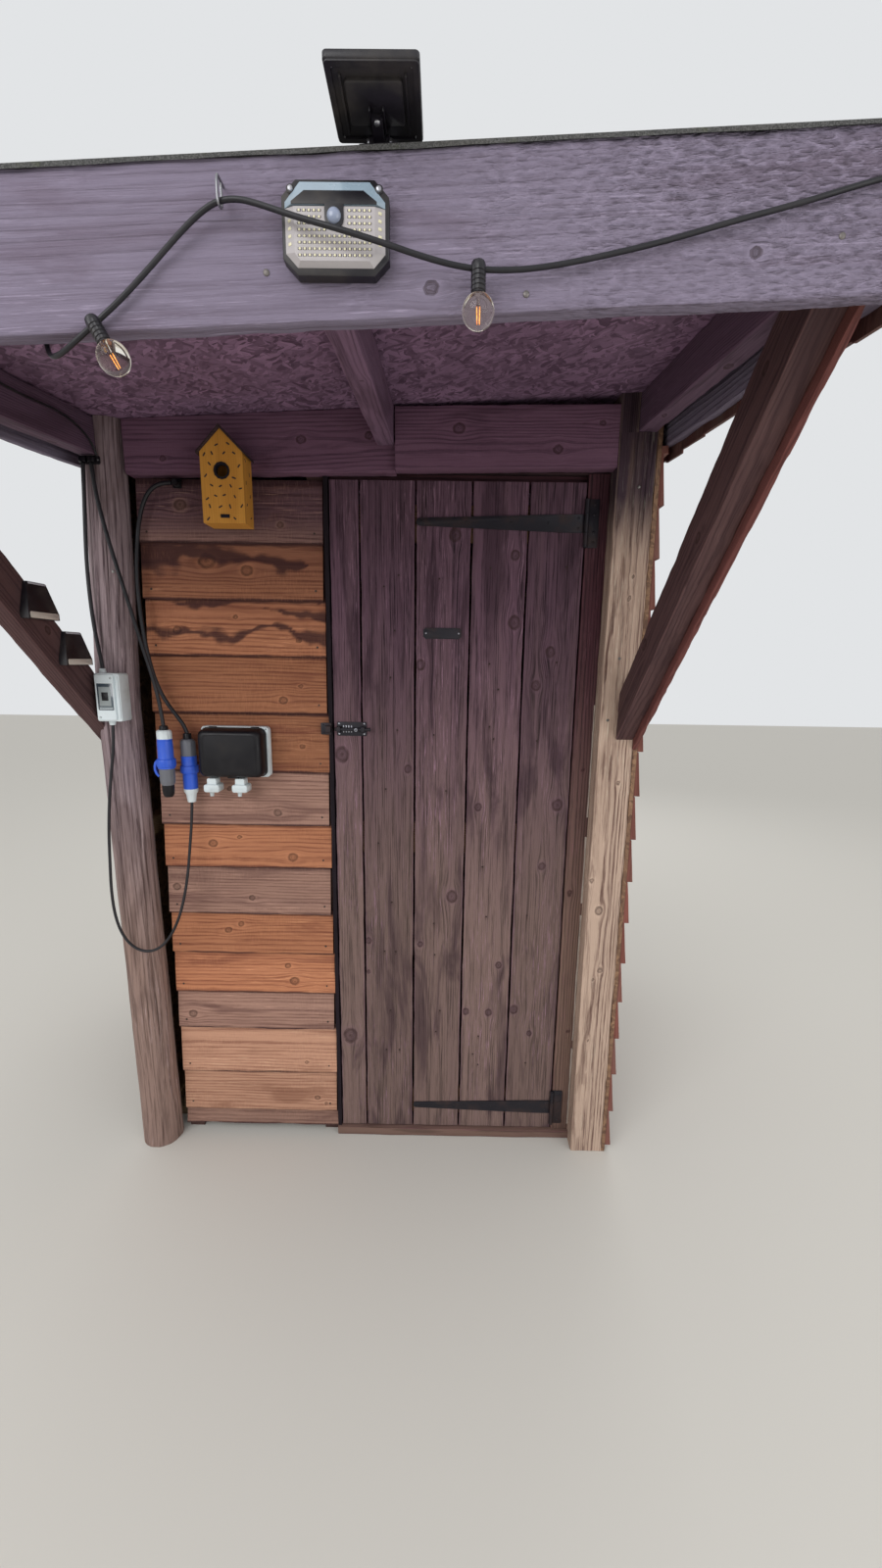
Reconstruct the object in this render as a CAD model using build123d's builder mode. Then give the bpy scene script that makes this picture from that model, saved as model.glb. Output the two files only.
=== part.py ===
from build123d import *
import os
from math import cos, radians, tan

# A small timber outhouse with a canopy over its door, in millimetres.
# X runs to the right along the front, Y into the hut and Z up from the ground.
# The door boards' front face is the plane Y = 0.

# Door opening
DOOR_WIDTH = 686.0
DOOR_HEIGHT = 1981.0
DOOR_LEFT = -107.0
DOOR_BOTTOM = 33.0
DOOR_BOARD = 20.0
NARROW_BOARD = 79.0
BOARD_GAP = 3.0
WIDE_BOARDS = 4
DOOR_GAP = 5.0
LEDGE_HEIGHT = 95.0
LEDGE_THICK = 22.0
LEDGE_INSET = (79.0, 102.0)
JAMB_WIDTH = 56.0

# Walls and floor
HUT_BACK = 1100.0
SHEATHING = 11.0
POST_SIDE = 98.0
POST_FRONT = -60.0
BACK_POST = 75.0
WALL_LEFT = -745.0
RAIL_THICK = 47.0
RAIL_HEIGHT = 50.0
MID_RAIL_Z = 1000.0
FLOOR_THICK = 28.0
FLOOR_BOARD = 120.0
SILL_PROUD = 12.0
STUD = 47.0
STUD_FRONT = 18.0

# Sizes that follow from the door
DOOR_RIGHT = DOOR_LEFT + DOOR_WIDTH
DOOR_TOP = DOOR_BOTTOM + DOOR_HEIGHT
POST_RIGHT = (DOOR_RIGHT + DOOR_GAP + JAMB_WIDTH, DOOR_RIGHT + DOOR_GAP + JAMB_WIDTH + POST_SIDE)
HEADER_Z = DOOR_TOP + 10.0
LINTEL_Z = DOOR_TOP + 22.0
DECK_Z = HEADER_Z + 154.0

# Round pole at the front left corner: height, centre x and radius
POLE_Y = -20.0
POLE_SECTIONS = ((0.0, -698.0, 60.0), (1400.0, -711.0, 56.0), (DECK_Z + 42.0, -679.0, 51.0))

# Roof, which falls to the front and rises a little to the right
SIDE_RISE = 0.05
BACK_RISE = 0.10
DECK_THICK = 11.0
ROOF_LEFT = WALL_LEFT - 52.0
ROOF_RIGHT = POST_RIGHT[1] + 46.0
CANOPY_FRONT = -880.0
ROOF_BACK = HUT_BACK + 100.0
RAFTER_DEPTH = 90.0
RAFTER_WIDTH = 46.0
LEFT_RAFTER_X = WALL_LEFT + 41.0
CENTRE_RAFTER_X = 49.0
RIGHT_RAFTER_X = POST_RIGHT[1] - 27.0
FASCIA_DEPTH = 168.0
FASCIA_THICK = 24.0
BARGE_THICK = 22.0
LEFT_BARGE_DEPTH = 95.0
RIGHT_BARGE_DEPTH = 122.0
VERGE_DEPTH = 158.0
VERGE_THICK = 9.0
FELT_THICK = 3.0
FELT_TURN = 12.0

# Header over the door
HEADER_SLOPE = 0.018
HEADER_HEIGHT = 145.0
HEADER_THICK = 45.0
LEFT_HEADER_FRONT = -38.0
RIGHT_HEADER_FRONT = -58.0

# Braces under the canopy
BRACE_WIDTH = 47.0
BRACE_DEPTH = 95.0
BRACE_REACH = 1000.0
BRACE_ANGLE = 42.0
RIGHT_BRACE_Z = DECK_Z - 838.0
LEFT_BRACE_Z = DECK_Z - 917.0
LEFT_BRACE_FOOT = 30.0
BRACE_BOARD = 12.0
BRACE_BOARD_DROP = 28.0

# Cladding: the lower edges of the lapped boards left of the door
LAP_EDGES = (30, 83, 224, 384, 510, 646, 778, 927, 1061, 1223, 1392, 1553, 1704, 1852)
LAP_LEFT = -626.0
LAP_RIGHT = -122.0
LAP_BUTT = 22.0
LAP_THIN = 9.0
SHINGLE_EXPOSURE = 128.0
SHINGLE_COURSES = 17
SHINGLE_BUTT = 18.0
SHINGLE_THIN = 5.0
SHINGLE_START = 20.0

# Clearance where two pieces seat on each other, and where one must swing or slide
SEAT = 0.3
SWING = 5.0


def roof_plane(drop):
    """The plane that lies this far straight below the underside of the roof boards."""
    return Plane(
        origin=(0, 0, DECK_Z - drop),
        x_dir=(1, 0, SIDE_RISE),
        z_dir=(-SIDE_RISE, -BACK_RISE, 1),
    )


def roof_height(x, y):
    """Height of the underside of the roof boards over a point of the ground."""
    return DECK_Z + SIDE_RISE * x + BACK_RISE * y


def header_plane(rise):
    """The plane of the header's lower edge, or one this far above it."""
    return Plane(
        origin=(0, 0, HEADER_Z + rise),
        x_dir=(1, 0, HEADER_SLOPE),
        z_dir=(-HEADER_SLOPE, 0, 1),
    )


def timber(x, y, z):
    """A squared timber that fills these three spans, given as (low, high)."""
    with Locations(((x[0] + x[1]) / 2, (y[0] + y[1]) / 2, (z[0] + z[1]) / 2)):
        Box(x[1] - x[0], y[1] - y[0], z[1] - z[0])


def under(drop):
    """Cut the part off at a plane below the roof boards and keep what is below it."""
    split(bisect_by=roof_plane(drop), keep=Keep.BOTTOM)


def over(drop):
    """Cut the part off at a plane below the roof boards and keep what is above it."""
    split(bisect_by=roof_plane(drop), keep=Keep.TOP)


def about(centre, width):
    """The span of this width about a centre."""
    return (centre - width / 2, centre + width / 2)


def brace_outline(foot, seat, depth):
    """Side view of a brace whose foot is plumb at a seat and which rises to the front."""
    slope = tan(radians(BRACE_ANGLE))
    rise = depth / cos(radians(BRACE_ANGLE))
    reach = BRACE_REACH - seat
    top = foot + BRACE_REACH * slope
    return ((-seat, foot), (-seat, foot + rise), (reach, top + rise), (reach, top))


def brace(x, outline, drop):
    """A sloping timber of this side view across a span, cut off at a plane below the roof boards."""
    with BuildPart() as sloping:
        with BuildSketch(Plane(origin=(x[0], 0, 0), x_dir=(0, -1, 0), z_dir=(-1, 0, 0))):
            with BuildLine():
                Polyline(*outline, close=True)
            make_face()
        extrude(amount=-(x[1] - x[0]))
        under(drop)
        split(bisect_by=Plane(origin=(0, CANOPY_FRONT + 1, 0), z_dir=(0, 1, 0)), keep=Keep.TOP)
    return sloping.part


os.makedirs("parts", exist_ok=True)
pieces = []


def keep(part, label):
    """Name a finished piece and write it to its own file."""
    part.label = label
    export_step(part, "parts/" + label + ".step")
    pieces.append(label)


ABOVE_ROOF = DECK_Z + 400.0
POST_BACK = POST_FRONT + POST_SIDE
LEFT_RAFTER = about(LEFT_RAFTER_X, RAFTER_WIDTH)
CENTRE_RAFTER = about(CENTRE_RAFTER_X, RAFTER_WIDTH)
RIGHT_RAFTER = about(RIGHT_RAFTER_X, RAFTER_WIDTH)
WALL_RIGHT = POST_RIGHT[1]
BACK_POST_FRONT = HUT_BACK - BACK_POST
POLE_BACK = POLE_Y + POLE_SECTIONS[0][2]
POLE_TOP_RIGHT = POLE_SECTIONS[2][1] + POLE_SECTIONS[2][2]
FASCIA_FRONT = CANOPY_FRONT - FASCIA_THICK

# Floor boards on the ground inside the walls
FLOOR_X = (WALL_LEFT + RAIL_THICK + SEAT, WALL_RIGHT - RAIL_THICK - SEAT)
FLOOR_Y = (STUD_FRONT + STUD + SEAT, BACK_POST_FRONT - SEAT)
GROOVE = 4.0
with BuildPart() as floor:
    timber(FLOOR_X, FLOOR_Y, (0, FLOOR_THICK))
    groove_count = int((FLOOR_Y[1] - FLOOR_Y[0]) / FLOOR_BOARD)
    floor_middle = (sum(FLOOR_X) / 2, sum(FLOOR_Y) / 2, FLOOR_THICK)
    with Locations(floor_middle):
        with GridLocations(1, FLOOR_BOARD, 1, groove_count):
            Box(FLOOR_X[1] - FLOOR_X[0], GROOVE, 2 * GROOVE, mode=Mode.SUBTRACT)
keep(floor.part, "floor")

# Sill under the door, which stands a little proud of it
with BuildPart() as door_sill:
    timber((LAP_RIGHT, POST_RIGHT[0] - SEAT), (-SILL_PROUD, STUD_FRONT + STUD), (0, FLOOR_THICK))
keep(door_sill.part, "door_sill")

# Round pole at the front left corner, notched over for the rafter and housed for the brace
LEFT_BRACE_X = (LEFT_RAFTER[0] - SEAT - BRACE_WIDTH, LEFT_RAFTER[0] - SEAT)
HOUSING_GAP = 1.0
housing = brace(
    (LEFT_BRACE_X[0], LEFT_BRACE_X[1] + SEAT),
    brace_outline(LEFT_BRACE_Z - 2 * HOUSING_GAP, LEFT_BRACE_FOOT + HOUSING_GAP, BRACE_DEPTH + 2 * HOUSING_GAP),
    SEAT,
)
with BuildPart() as left_notch:
    timber((LEFT_RAFTER[0] - 40, LEFT_RAFTER[1] + SEAT), (-200, 200), (1900, ABOVE_ROOF))
    over(RAFTER_DEPTH + SEAT)
with BuildPart() as left_post:
    for lower, upper in zip(POLE_SECTIONS, POLE_SECTIONS[1:]):
        for height, centre, radius in (lower, upper):
            with BuildSketch(Plane.XY.offset(height)):
                with Locations((centre, POLE_Y)):
                    Circle(radius)
        loft()
    under(SEAT)
    add(left_notch.part, mode=Mode.SUBTRACT)
    add(housing, mode=Mode.SUBTRACT)
keep(left_post.part, "left_post")

# Square post at the front right corner, notched over for the rafter
with BuildPart() as right_notch:
    timber((RIGHT_RAFTER[0] - SEAT, RIGHT_RAFTER[1] + 40), (-200, 200), (1900, ABOVE_ROOF))
    over(RAFTER_DEPTH + SEAT)
with BuildPart() as right_post:
    timber(POST_RIGHT, (POST_FRONT, POST_BACK), (0, ABOVE_ROOF))
    under(SEAT)
    add(right_notch.part, mode=Mode.SUBTRACT)
keep(right_post.part, "right_post")

# Posts at the back corners
with BuildPart() as back_posts:
    timber((WALL_LEFT, WALL_LEFT + BACK_POST), (BACK_POST_FRONT, HUT_BACK), (0, ABOVE_ROOF))
    timber((WALL_RIGHT - BACK_POST, WALL_RIGHT), (BACK_POST_FRONT, HUT_BACK), (0, ABOVE_ROOF))
    under(RAFTER_DEPTH + SEAT)
keep(back_posts.part, "back_posts")

# Rails between the posts of the sides and the back, at the ground and at mid height
with BuildPart() as wall_rails:
    for bottom in (0, MID_RAIL_Z):
        rail = (bottom, bottom + RAIL_HEIGHT)
        left_run = (POLE_BACK + SEAT, BACK_POST_FRONT - SEAT)
        right_run = (POST_BACK + SEAT, BACK_POST_FRONT - SEAT)
        timber((WALL_LEFT, WALL_LEFT + RAIL_THICK), left_run, rail)
        timber((WALL_RIGHT - RAIL_THICK, WALL_RIGHT), right_run, rail)
        back_run = (WALL_LEFT + BACK_POST + SEAT, WALL_RIGHT - BACK_POST - SEAT)
        timber(back_run, (BACK_POST_FRONT, HUT_BACK), rail)
keep(wall_rails.part, "wall_rails")

# Board sheathing on the two sides and the back
LEFT_SHEET = (WALL_LEFT - SEAT - SHEATHING, WALL_LEFT - SEAT)
RIGHT_SHEET = (WALL_RIGHT + SEAT, WALL_RIGHT + SEAT + SHEATHING)
with BuildPart() as side_walls:
    timber(LEFT_SHEET, (POLE_BACK + SEAT, HUT_BACK), (0, ABOVE_ROOF))
    timber(RIGHT_SHEET, (POST_FRONT, HUT_BACK), (0, ABOVE_ROOF))
    under(SEAT)
keep(side_walls.part, "side_walls")

BACK_SHEET = (HUT_BACK + SEAT, HUT_BACK + SEAT + SHEATHING)
with BuildPart() as back_wall:
    timber((LEFT_SHEET[0], RIGHT_SHEET[1]), BACK_SHEET, (0, ABOVE_ROOF))
    under(RAFTER_DEPTH + SEAT)
keep(back_wall.part, "back_wall")


def shingle_profile():
    """Saw-tooth outline of the shingle courses, as (depth from the wall, height)."""
    outline = [(0, SHINGLE_START)]
    for course in range(SHINGLE_COURSES):
        lower = SHINGLE_START + course * SHINGLE_EXPOSURE
        outline.append((SHINGLE_BUTT, lower))
        outline.append((SHINGLE_THIN, lower + SHINGLE_EXPOSURE))
    outline.append((0, SHINGLE_START + SHINGLE_COURSES * SHINGLE_EXPOSURE))
    return outline


# Shingle courses on the sides and the back, thick at each lower edge
RIGHT_SIDE = Plane(origin=(RIGHT_SHEET[1] + SEAT, POST_FRONT, 0), x_dir=(1, 0, 0), z_dir=(0, -1, 0))
LEFT_SIDE = Plane(origin=(LEFT_SHEET[0] - SEAT, POLE_BACK + SEAT, 0), x_dir=(-1, 0, 0), z_dir=(0, 1, 0))
BACK_SIDE = Plane(
    origin=(LEFT_SHEET[0] - SHINGLE_BUTT, BACK_SHEET[1] + SEAT, 0),
    x_dir=(0, 1, 0),
    z_dir=(1, 0, 0),
)
with BuildPart() as left_shingles:
    with BuildSketch(LEFT_SIDE):
        with BuildLine():
            Polyline(*shingle_profile(), close=True)
        make_face()
    extrude(amount=BACK_SHEET[1] - POLE_BACK - SEAT)
    under(LEFT_BARGE_DEPTH + 2)
with BuildPart() as side_shingles:
    with BuildSketch(RIGHT_SIDE):
        with BuildLine():
            Polyline(*shingle_profile(), close=True)
        make_face()
    extrude(amount=-(BACK_SHEET[1] - POST_FRONT))
    under(RIGHT_BARGE_DEPTH + 2)
    add(left_shingles.part)
keep(side_shingles.part, "side_shingles")

with BuildPart() as back_shingles:
    with BuildSketch(BACK_SIDE):
        with BuildLine():
            Polyline(*shingle_profile(), close=True)
        make_face()
    extrude(amount=RIGHT_SHEET[1] - LEFT_SHEET[0] + 2 * SHINGLE_BUTT)
    under(RAFTER_DEPTH + 2)
keep(back_shingles.part, "back_shingles")

# Studs behind the lapped boards, beside the door and beside the pole
LEFT_STUD = (LAP_LEFT, LAP_LEFT + STUD)
DOOR_STUD = (LAP_RIGHT - SEAT - STUD, LAP_RIGHT - SEAT)
with BuildPart() as front_studs:
    for span in (LEFT_STUD, DOOR_STUD):
        timber(span, (STUD_FRONT, STUD_FRONT + STUD), (0, LINTEL_Z - SEAT))
keep(front_studs.part, "front_studs")

# Lapped boards left of the door, thick at each lower edge
LAP_BACK = STUD_FRONT - SEAT
with BuildPart() as front_cladding:
    with BuildSketch(Plane(origin=(LAP_LEFT, LAP_BACK, 0), x_dir=(0, -1, 0), z_dir=(-1, 0, 0))):
        with BuildLine():
            edge_line = [(0, LAP_EDGES[0])]
            for lower, upper in zip(LAP_EDGES, LAP_EDGES[1:] + (HEADER_Z + 40,)):
                edge_line.append((LAP_BUTT, lower))
                edge_line.append((LAP_THIN, upper))
            edge_line.append((0, HEADER_Z + 40))
            Polyline(*edge_line, close=True)
        make_face()
    extrude(amount=-(LAP_RIGHT - SEAT - LAP_LEFT))
    split(bisect_by=header_plane(-SEAT), keep=Keep.BOTTOM)
keep(front_cladding.part, "front_cladding")

# Header boards, butted at the centre rafter, the right one standing proud
HEADER_JOINT = CENTRE_RAFTER[1] + 3
HEADER_LEFT_Y = (LEFT_HEADER_FRONT, LEFT_HEADER_FRONT + HEADER_THICK)
HEADER_RIGHT_Y = (RIGHT_HEADER_FRONT, RIGHT_HEADER_FRONT + HEADER_THICK)
with BuildPart() as proud_board:
    timber((HEADER_JOINT, POST_RIGHT[0] - SEAT), HEADER_RIGHT_Y, (1900, ABOVE_ROOF))
    split(bisect_by=header_plane(HEADER_HEIGHT), keep=Keep.BOTTOM)
with BuildPart() as header_boards:
    timber((POLE_TOP_RIGHT + 0.5, HEADER_JOINT - 1), HEADER_LEFT_Y, (1900, ABOVE_ROOF))
    under(SEAT)
    add(proud_board.part)
    split(bisect_by=header_plane(0), keep=Keep.TOP)
keep(header_boards.part, "header_boards")

# Lintel behind the header, which carries the inner rafter
LINTEL_Y = (HEADER_LEFT_Y[1] + SEAT, HEADER_LEFT_Y[1] + SEAT + STUD)
with BuildPart() as lintel:
    timber((LAP_LEFT, POST_RIGHT[0] - SEAT), LINTEL_Y, (LINTEL_Z, ABOVE_ROOF))
    under(RAFTER_DEPTH + SEAT)
keep(lintel.part, "lintel")

# Door frame: a jamb on each side and the stops that the door closes against
STOP_Y = (DOOR_BOARD + SWING, DOOR_BOARD + SWING + LEDGE_THICK)
JAMB_TOP = LINTEL_Z - SEAT
LEFT_JAMB = (LAP_RIGHT, DOOR_LEFT - DOOR_GAP + 1.7)
with BuildPart() as door_frame:
    timber((DOOR_RIGHT + DOOR_GAP, POST_RIGHT[0] - SEAT), (0, RAIL_THICK), (FLOOR_THICK + SEAT, JAMB_TOP))
    timber(LEFT_JAMB, (LAP_BACK - LAP_BUTT, STUD_FRONT + STUD), (FLOOR_THICK + SEAT, HEADER_Z - 3))
    timber((LEFT_JAMB[1] + SEAT, LEFT_JAMB[1] + 20), STOP_Y, (FLOOR_THICK + SEAT, DOOR_TOP - 15))
    timber((LEFT_JAMB[1] + SEAT, DOOR_RIGHT + DOOR_GAP - SEAT), STOP_Y, (DOOR_TOP - 15 + SEAT, JAMB_TOP))
keep(door_frame.part, "door_frame")

# Rafters: one over each side wall, running out under the canopy
with BuildPart() as side_rafters:
    timber(LEFT_RAFTER, (CANOPY_FRONT + SEAT, ROOF_BACK), (1800, ABOVE_ROOF))
    timber(RIGHT_RAFTER, (CANOPY_FRONT + SEAT, ROOF_BACK), (1800, ABOVE_ROOF))
    under(SEAT)
    over(RAFTER_DEPTH)
keep(side_rafters.part, "side_rafters")

# Centre rafters: a short one from the header to the fascia, and one inside
with BuildPart() as centre_rafters:
    timber(CENTRE_RAFTER, (CANOPY_FRONT + SEAT, LEFT_HEADER_FRONT - SEAT), (1800, ABOVE_ROOF))
    timber(CENTRE_RAFTER, (LINTEL_Y[0], ROOF_BACK), (1800, ABOVE_ROOF))
    under(SEAT)
    over(RAFTER_DEPTH)
keep(centre_rafters.part, "centre_rafters")

# Fascia boards at the front and at the back
BACK_FASCIA = (ROOF_BACK + SEAT, ROOF_BACK + SEAT + BARGE_THICK)
with BuildPart() as back_fascia:
    timber((ROOF_LEFT, ROOF_RIGHT), BACK_FASCIA, (1700, ABOVE_ROOF))
    under(-DECK_THICK)
    over(RIGHT_BARGE_DEPTH)
with BuildPart() as fascia_boards:
    timber((ROOF_LEFT, ROOF_RIGHT), (FASCIA_FRONT, CANOPY_FRONT), (1700, ABOVE_ROOF))
    under(-DECK_THICK)
    over(FASCIA_DEPTH - DECK_THICK)
    add(back_fascia.part)
keep(fascia_boards.part, "fascia_boards")

# Barge boards under the two side edges of the roof
BARGE_RUN = (CANOPY_FRONT + SEAT, ROOF_BACK)
with BuildPart() as right_barge:
    timber((ROOF_RIGHT - BARGE_THICK, ROOF_RIGHT), BARGE_RUN, (1700, ABOVE_ROOF))
    under(SEAT)
    over(RIGHT_BARGE_DEPTH)
with BuildPart() as barge_boards:
    timber((ROOF_LEFT, ROOF_LEFT + BARGE_THICK), BARGE_RUN, (1700, ABOVE_ROOF))
    under(SEAT)
    over(LEFT_BARGE_DEPTH)
    add(right_barge.part)
keep(barge_boards.part, "barge_boards")

# Strip of shingle hung on the right barge board
with BuildPart() as verge_strip:
    timber((ROOF_RIGHT + SEAT, ROOF_RIGHT + SEAT + VERGE_THICK), (FASCIA_FRONT, ROOF_BACK), (1700, ABOVE_ROOF))
    under(-DECK_THICK)
    over(VERGE_DEPTH)
keep(verge_strip.part, "verge_strip")

# Roof boards
with BuildPart() as roof_deck:
    timber((ROOF_LEFT, ROOF_RIGHT), (CANOPY_FRONT + SEAT, ROOF_BACK), (1800, ABOVE_ROOF))
    over(0)
    under(-DECK_THICK)
keep(roof_deck.part, "roof_deck")

# Roof felt, turned down over all four edges
FELT_X = (ROOF_LEFT - SEAT, ROOF_RIGHT + 2 * SEAT + VERGE_THICK)
FELT_Y = (FASCIA_FRONT - SEAT, BACK_FASCIA[1] + SEAT)
FELT_LOW = DECK_THICK + SEAT
with BuildPart() as felt_inside:
    timber(FELT_X, FELT_Y, (1600, ABOVE_ROOF))
    under(-FELT_LOW)
with BuildPart() as roof_felt:
    timber(
        (FELT_X[0] - FELT_THICK, FELT_X[1] + FELT_THICK),
        (FELT_Y[0] - FELT_THICK, FELT_Y[1] + FELT_THICK),
        (1700, ABOVE_ROOF),
    )
    under(-FELT_LOW - FELT_THICK)
    over(-FELT_LOW + FELT_TURN)
    add(felt_inside.part, mode=Mode.SUBTRACT)
keep(roof_felt.part, "roof_felt")


# Left brace, lapped on the outer side of the rafter and housed in the pole
left_outline = brace_outline(LEFT_BRACE_Z, LEFT_BRACE_FOOT, BRACE_DEPTH)
keep(brace(LEFT_BRACE_X, left_outline, SEAT), "left_brace")

# Right brace, from the front of the post to the underside of the rafter
RIGHT_BRACE_X = about(RIGHT_RAFTER_X, BRACE_WIDTH)
right_outline = brace_outline(RIGHT_BRACE_Z, POST_FRONT - SEAT, BRACE_DEPTH)
keep(brace(RIGHT_BRACE_X, right_outline, RAFTER_DEPTH + SEAT), "right_brace")

# Thin board nailed along the outer side of the right brace
BOARD_X = (RIGHT_BRACE_X[1] + SEAT, RIGHT_BRACE_X[1] + SEAT + BRACE_BOARD)
board_outline = brace_outline(
    RIGHT_BRACE_Z - BRACE_BOARD_DROP,
    POST_FRONT - SEAT,
    BRACE_DEPTH + BRACE_BOARD_DROP / 2,
)
keep(brace(BOARD_X, board_outline, RAFTER_DEPTH + SEAT), "brace_board")

# Door boards: a narrow one at the lock side and equal wide ones
wide_board = (DOOR_WIDTH - NARROW_BOARD - WIDE_BOARDS * BOARD_GAP) / WIDE_BOARDS
with BuildPart() as door_boards:
    board_left = DOOR_LEFT
    for board_width in [NARROW_BOARD] + [wide_board] * WIDE_BOARDS:
        timber((board_left, board_left + board_width), (0, DOOR_BOARD), (DOOR_BOTTOM, DOOR_TOP))
        board_left += board_width + BOARD_GAP
keep(door_boards.part, "door_boards")

# Ledges nailed across the back of the door
LEDGE_X = (LEFT_JAMB[1] + 20 + 2 * SWING, DOOR_RIGHT - 19)
HINGE_HEIGHTS = (DOOR_BOTTOM + LEDGE_INSET[0], DOOR_TOP - LEDGE_INSET[1])
with BuildPart() as door_ledges:
    for ledge_z in (HINGE_HEIGHTS[0], (DOOR_BOTTOM + DOOR_TOP) / 2, HINGE_HEIGHTS[1]):
        ledge_y = (DOOR_BOARD + SEAT, DOOR_BOARD + SEAT + LEDGE_THICK)
        timber(LEDGE_X, ledge_y, about(ledge_z, LEDGE_HEIGHT))
keep(door_ledges.part, "door_ledges")

# Tee hinges: a long strap on the door, a cross leaf on the jamb and a pin
STRAP_LENGTH = 445.0
STRAP_ROOT = 46.0
STRAP_TIP = 20.0
STRAP_THICK = 3.0
KNUCKLE_R = 6.0
PIN_R = 3.0
PIN_CLEAR = 0.08
LEAF_HEIGHT = 122.0
LEAF_WIDTH = 34.0
PIN_X = DOOR_RIGHT + DOOR_GAP / 2
PIN_Y = -KNUCKLE_R - 0.5
STRAP_Y = (-SEAT - STRAP_THICK, -SEAT)
FRONT_VIEW = Plane(origin=(0, STRAP_Y[1], 0), x_dir=(1, 0, 0), z_dir=(0, -1, 0))
with BuildPart() as hinge_straps:
    for height in HINGE_HEIGHTS:
        with BuildSketch(FRONT_VIEW):
            with BuildLine():
                Polyline(
                    (PIN_X, height - STRAP_ROOT / 2),
                    (PIN_X - 60, height - STRAP_ROOT / 2),
                    (PIN_X - STRAP_LENGTH, height - STRAP_TIP / 2),
                    (PIN_X - STRAP_LENGTH, height + STRAP_TIP / 2),
                    (PIN_X - 60, height + STRAP_ROOT / 2),
                    (PIN_X, height + STRAP_ROOT / 2),
                    close=True,
                )
            make_face()
            with Locations((PIN_X - STRAP_LENGTH, height)):
                Circle(STRAP_TIP / 2)
        extrude(amount=STRAP_THICK)
        with BuildSketch(Plane.XY.offset(height - STRAP_ROOT / 2)):
            with Locations((PIN_X, PIN_Y)):
                Circle(KNUCKLE_R)
        extrude(amount=STRAP_ROOT)
        with BuildSketch(Plane.XY.offset(height - STRAP_ROOT / 2 - 1)):
            with Locations((PIN_X, PIN_Y)):
                Circle(PIN_R + PIN_CLEAR)
        extrude(amount=STRAP_ROOT + 2, mode=Mode.SUBTRACT)
keep(hinge_straps.part, "hinge_straps")

with BuildPart() as hinge_leaves:
    for height in HINGE_HEIGHTS:
        timber((PIN_X, PIN_X + LEAF_WIDTH), STRAP_Y, about(height, LEAF_HEIGHT))
        with BuildSketch(Plane.XY.offset(height - LEAF_HEIGHT / 2)):
            with Locations((PIN_X, PIN_Y)):
                Circle(KNUCKLE_R)
        extrude(amount=LEAF_HEIGHT)
        middle = about(height, STRAP_ROOT + 2 * SEAT)
        with Locations((PIN_X, PIN_Y, height)):
            Box(4 * KNUCKLE_R, 4 * KNUCKLE_R, middle[1] - middle[0], mode=Mode.SUBTRACT)
        with BuildSketch(Plane.XY.offset(height - LEAF_HEIGHT / 2)):
            with Locations((PIN_X, PIN_Y)):
                Circle(PIN_R)
        extrude(amount=LEAF_HEIGHT)
keep(hinge_leaves.part, "hinge_leaves")

# Barrel bolt on the door's free edge, drawn back, and its keeper on the frame
BOLT_Z = 1352.0
BOLT_Y = -14.0
BOLT_R = 5.0
BOLT_CLEAR = 0.6
BOLT_PLATE = (-98.0, -13.0)
BOLT_GUIDES = (-91.0, -22.0)
GUIDE_LENGTH = 10.0
BOLT_BAR = (-103.0, 0.0)
BOLT_STROKE = 24.0
KNOB_X = -40.0
KNOB_R = 4.0
KNOB_REACH = 17.0
KEEPER_X = (-128.0, -114.0)
with BuildPart() as bolt_case:
    timber(BOLT_PLATE, (-SEAT - 2, -SEAT), about(BOLT_Z, 40))
    for guide_x in BOLT_GUIDES:
        timber(about(guide_x, GUIDE_LENGTH), (BOLT_Y - 8, -SEAT - 2), about(BOLT_Z, 17))
    with BuildSketch(Plane.YZ.offset(BOLT_PLATE[0])):
        with Locations((BOLT_Y, BOLT_Z)):
            Circle(BOLT_R + BOLT_CLEAR)
    extrude(amount=BOLT_PLATE[1] - BOLT_PLATE[0], mode=Mode.SUBTRACT)
keep(bolt_case.part, "bolt_case")

with BuildPart() as bolt_bar:
    with BuildSketch(Plane.YZ.offset(BOLT_BAR[0])):
        with Locations((BOLT_Y, BOLT_Z)):
            Circle(BOLT_R)
    extrude(amount=BOLT_BAR[1] - BOLT_BAR[0])
    with BuildSketch(Plane.XZ.offset(-BOLT_Y)):
        with Locations((KNOB_X, BOLT_Z)):
            Circle(KNOB_R)
    extrude(amount=KNOB_REACH)
keep(bolt_bar.part, "bolt_bar")

KEEPER_BACK = LAP_BACK - LAP_BUTT - SEAT
with BuildPart() as bolt_keeper:
    timber((KEEPER_X[0] - 16, KEEPER_X[1] + 1), (KEEPER_BACK - 2, KEEPER_BACK), about(BOLT_Z, 34))
    timber(KEEPER_X, (BOLT_Y - 9, KEEPER_BACK - 2), about(BOLT_Z, 19))
    with BuildSketch(Plane.YZ.offset(KEEPER_X[0] - 1)):
        with Locations((BOLT_Y, BOLT_Z)):
            Circle(BOLT_R + 1)
    extrude(amount=KEEPER_X[1] - KEEPER_X[0] + 2, mode=Mode.SUBTRACT)
keep(bolt_keeper.part, "bolt_keeper")

# Small sign plate at eye height, its corners cut in
SIGN_CENTRE = (201.0, 1622.0)
SIGN_SIZE = (106.0, 30.0)
SIGN_CORNER = 5.0
with BuildPart() as sign_plate:
    with BuildSketch(FRONT_VIEW):
        with Locations(SIGN_CENTRE):
            Rectangle(*SIGN_SIZE)
            with GridLocations(SIGN_SIZE[0], SIGN_SIZE[1], 2, 2):
                Circle(SIGN_CORNER, mode=Mode.SUBTRACT)
    extrude(amount=STRAP_THICK)
keep(sign_plate.part, "sign_plate")

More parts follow.
